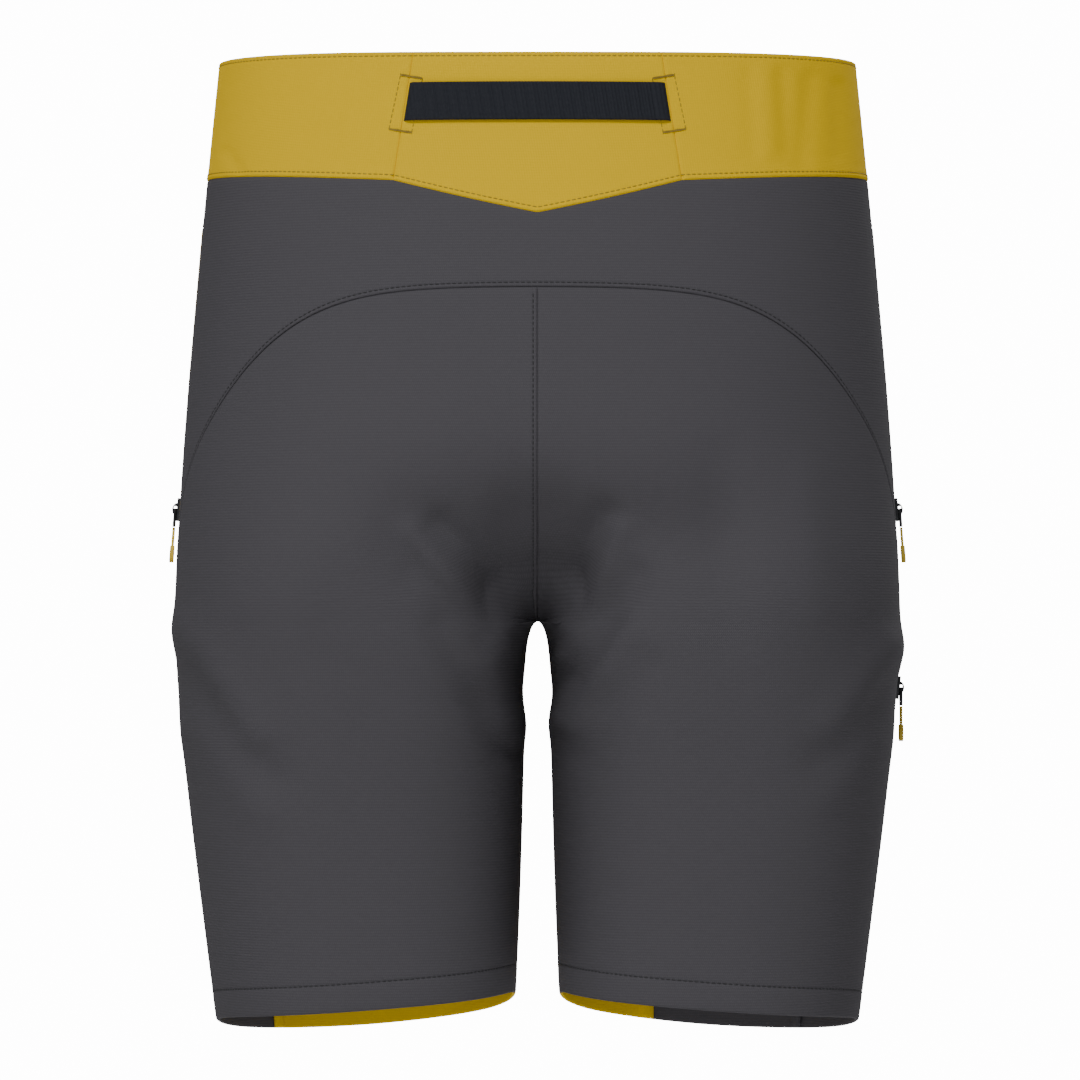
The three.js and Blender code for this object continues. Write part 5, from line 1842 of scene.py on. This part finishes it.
@dataclass
class Snaps(Sewing):
    """The two snaps that hold the tab: post and stud on the band, socket and cap on the tab."""

    x: float = 16.0
    first_down: float = 16.0
    pitch: float = 24.0
    lift: float = 3.0
    segments: int = 48

    def build(self) -> None:
        """Makes both snaps."""
        tab_in = self.lift - 1.4
        post = [
            (0, -3.2), (4.4, -3.2), (4.85, -3.1), (5.0, -2.8), (4.9, -2.4), (4.6, -2.3), (1.1, -2.3),
            (1.1, 0), (0, 0),
        ]
        stud = [
            (0, 0.3), (5.2, 0.3), (5.5, 0.45), (5.4, 0.65), (5.0, 0.7), (2.5, 0.78), (2.15, 0.85),
            (2.2, 1.05), (2.0, 1.14), (0, 1.15),
        ]
        socket = [
            (2.5, 1.06), (2.7, 1.0), (5.2, 1.0), (5.5, 1.08), (5.5, 1.22), (5.2, 1.3), (2.7, 1.3),
            (2.5, 1.24),
        ]
        top = self.lift + 0.3
        cap = [
            (0, tab_in), (1.1, tab_in), (1.1, top), (6.5, top), (6.9, top + 0.12), (7.0, top + 0.45),
            (6.85, top + 0.8), (6.4, top + 1.0), (6.0, top + 0.92), (5.6, top + 1.08), (4.2, top + 1.42),
            (2.4, top + 1.62), (0, top + 1.7),
        ]
        parts = (
            ("post", post, Look.NICKEL, "snap_nickel", "shorts", False),
            ("stud", stud, Look.NICKEL, "snap_nickel", "shorts", False),
            ("socket", socket, Look.NICKEL, "snap_nickel", "waist_tab", True),
            ("cap", cap, Look.GUNMETAL, "snap_cap", "waist_tab", False),
        )
        p = self.pattern
        for where, down in (("upper", self.first_down), ("lower", self.first_down + self.pitch)):
            z = np.array([p.waist_front - down])
            g = -p.skin.t_at_x(self.x, z, True)
            middle, out = p.skin.point(g, z)[0], p.skin.normal(g, z)[0]
            for part, profile, look, slot, body, ring in parts:
                name = f"turned_snap_{part}_{where}"
                piece = turned(name, middle, out, profile, self.looks[look], ring, self.segments)
                self.declare(piece, body, [f"snap_{part}_{where}"], slot)


def turned(
    name: str,
    middle: Array,
    out: Array,
    profile: Sequence[tuple[float, float]],
    material: bpy.types.Material,
    ring: bool,
    segments: int,
) -> bpy.types.Object:
    """A turned piece: radius and height of each corner, carried round an axis.

    Args:
        name: the piece's name.
        middle: the foot of the axis.
        out: the axis.
        profile: the corners, from the axis to the axis, or round a ring.
        material: the finish.
        ring: whether the profile is closed on itself and has no pole.
        segments: how many steps it takes to go round.
    """
    right = np.cross(out, np.array([0.0, 0.0, 1.0]))
    right /= np.linalg.norm(right)
    up = np.cross(right, out)
    angle = np.arange(segments) * 2 * math.pi / segments
    spoke = right * np.cos(angle)[:, None] + up * np.sin(angle)[:, None]
    corners = list(profile) if ring else list(profile[1:-1])
    rings = [middle + spoke * r + out * h for r, h in corners]
    points = np.concatenate(rings)
    m, n = segments, len(corners)
    around = np.arange(m)
    after = (around + 1) % m
    rows = [(i, (i + 1) % n) for i in range(n if ring else n - 1)]
    faces = [[i * m + a, i * m + b, j * m + b, j * m + a] for i, j in rows for a, b in zip(around, after)]
    if not ring:
        points = np.concatenate([points, [middle + out * profile[0][1], middle + out * profile[-1][1]]])
        faces += [[n * m, int(b), int(a)] for a, b in zip(around, after)]
        faces += [[n * m + 1, (n - 1) * m + int(a), (n - 1) * m + int(b)] for a, b in zip(around, after)]
    piece = mesh_object(name, points, [[int(k) for k in f] for f in faces], material)
    normals_outward(piece)
    piece.data.set_sharp_from_angle(angle=math.radians(TURNED_SHARP))
    return piece


# ---------------------------------------------------------------- The studio


@dataclass(frozen=True)
class Studio:
    """A pale floor, soft lights and a long lens behind the wearer."""

    distance: float = 3.3
    view_height: float = 0.516
    elevation: float = -0.8
    aim: tuple[float, float, float] = (-0.0012, 0.0, -0.227)
    floor_z: float = -1.0
    floor_radius: float = 2.4
    sky_seen: float = 14.0
    sky_light: float = 0.27

    def build(self) -> None:
        """Makes the camera, the lights, the world and the floor."""
        self.camera()
        self.floor()
        self.world()
        self.light("key", (0.5, 2.5, 2.6), 1.1, 96.0)
        self.light("low", (0.3, 2.3, -0.8), 0.9, 9.0)
        self.light("fill", (2.6, 0.9, 0.7), 1.4, 5.0)
        self.light("front_key", (-1.4, -2.6, 1.8), 1.8, 45.0)

    def camera(self) -> None:
        """The camera, a little under level with the middle of the garment."""
        data = bpy.data.cameras.new("camera")
        data.sensor_width = 36.0
        data.lens = 36.0 * self.distance / self.view_height
        data.clip_end = 50.0
        camera = bpy.data.objects.new("camera", data)
        tilt = math.radians(self.elevation)
        x, y, z = self.aim
        camera.location = (x, y + self.distance * math.cos(tilt), z + self.distance * math.sin(tilt))
        camera.rotation_euler = (math.pi / 2 - tilt, 0.0, math.pi)
        bpy.context.scene.collection.objects.link(camera)
        bpy.context.scene.camera = camera

    def floor(self) -> None:
        """A round, pale floor well below the hem."""
        rings, spokes = 24, 96
        r = np.linspace(0.0, self.floor_radius, rings)[:, None] / MM
        angle = np.linspace(0, 2 * math.pi, spokes)[None, :]
        x, y = r * np.cos(angle), r * np.sin(angle)
        points = np.stack([x, y, np.full_like(x, self.floor_z / MM)], axis=-1).reshape(-1, 3)
        finish = HardFinish("studio_floor", (0.93, 0.93, 0.92), 0.8, 0.0, 3.0, 0.02, 0.01).build()
        floor = mesh_object("floor", points, quads_of_grid(rings, spokes)[:, ::-1], finish)

    def world(self) -> None:
        """White to the camera, and a softer white to the garment."""
        world = bpy.data.worlds.new("studio")
        world.use_nodes = True
        n = Nodes(world.node_tree)
        back = n.tree.nodes["Background"]
        back.inputs["Color"].default_value = (1.0, 1.0, 1.0, 1.0)
        ray = n.add("ShaderNodeLightPath")
        strength = n.math("MULTIPLY_ADD", ray.outputs["Is Camera Ray"], self.sky_seen, self.sky_light)
        n.link(strength, back.inputs["Strength"])
        bpy.context.scene.world = world

    def light(self, name: str, place: tuple[float, float, float], size: float, power: float) -> None:
        """A square soft light aimed at the garment."""
        data = bpy.data.lights.new(name, "AREA")
        data.energy = power
        data.size = size
        lamp = bpy.data.objects.new(name, data)
        lamp.location = place
        aim = np.array(self.aim) - np.array(place)
        yaw = math.atan2(aim[0], -aim[1])
        pitch = math.atan2(math.hypot(aim[0], aim[1]), -aim[2])
        lamp.rotation_euler = (pitch, 0.0, yaw + math.pi)
        bpy.context.scene.collection.objects.link(lamp)


FOLDS = (
    Fold((-4, -262), (-30, -218), 8, -3.6),
    Fold((-10, -282), (-36, -226), 6, 2.2),
    Fold((-18, -292), (-44, -248), 7, -2.4),
    Fold((-14, -312), (-42, -268), 7, 2.4),
    Fold((-22, -330), (-50, -286), 8, -1.4),
    Fold((12, -258), (44, -222), 8, -3.4),
    Fold((13, -276), (58, -226), 7, 2.6),
    Fold((22, -270), (56, -246), 8, -1.8),
    Fold((14, -318), (20, -286), 6, 1.6),
    Fold((16, -326), (44, -270), 7, -1.8),
    Fold((164, -270), (132, -318), 10, 3.4),
    Fold((162, -290), (126, -338), 11, -2.4),
    Fold((158, -318), (128, -352), 10, 1.6),
    Fold((-166, -278), (-138, -314), 10, 3.2),
    Fold((-162, -298), (-134, -330), 11, -2.2),
    Fold((-156, -322), (-134, -348), 10, 1.4),
    Fold((-86, -190), (-92, -270), 12, -1.2),
    Fold((-126, -200), (-128, -262), 10, 1.0),
    Fold((92, -196), (98, -280), 14, -1.0),
    Fold((0, -222), (0, -246), 30, -7.0),
    Fold((-78, -229), (56, -232), 29, -9.5),
    Fold((-84, -176), (-60, -176), 30, 1.6),
    Fold((60, -176), (84, -176), 30, 1.6),
    Fold((-98, -10), (-100, -48), 4, -0.5),
    Fold((-115, -10), (-117, -46), 4.5, -1.0),
    Fold((-128, -12), (-124, -50), 5, -1.2),
    Fold((-141, -14), (-142, -46), 4, -0.7),
    Fold((-107, -10), (-108, -46), 5, 0.7),
    Fold((147, -44), (140, -54), 3, -0.8),
)


def main() -> None:
    """Builds the garment and the studio, and logs how many stitches each stitched piece has."""
    logging.basicConfig(level=logging.INFO, format="%(name)s: %(message)s")
    looks = Wardrobe()
    pattern = Pattern()
    drape = Drape(FOLDS)
    Studio().build()
    shell = Shell(pattern, drape, looks)
    shell.build()
    Waist(pattern, drape, looks).build()
    Zips(pattern, drape, looks, lines=shell.zip_lines()).build()
    Lining(pattern, drape, looks).build()
    Snaps(pattern, drape, looks).build()


if __name__ == "__main__":
    main()
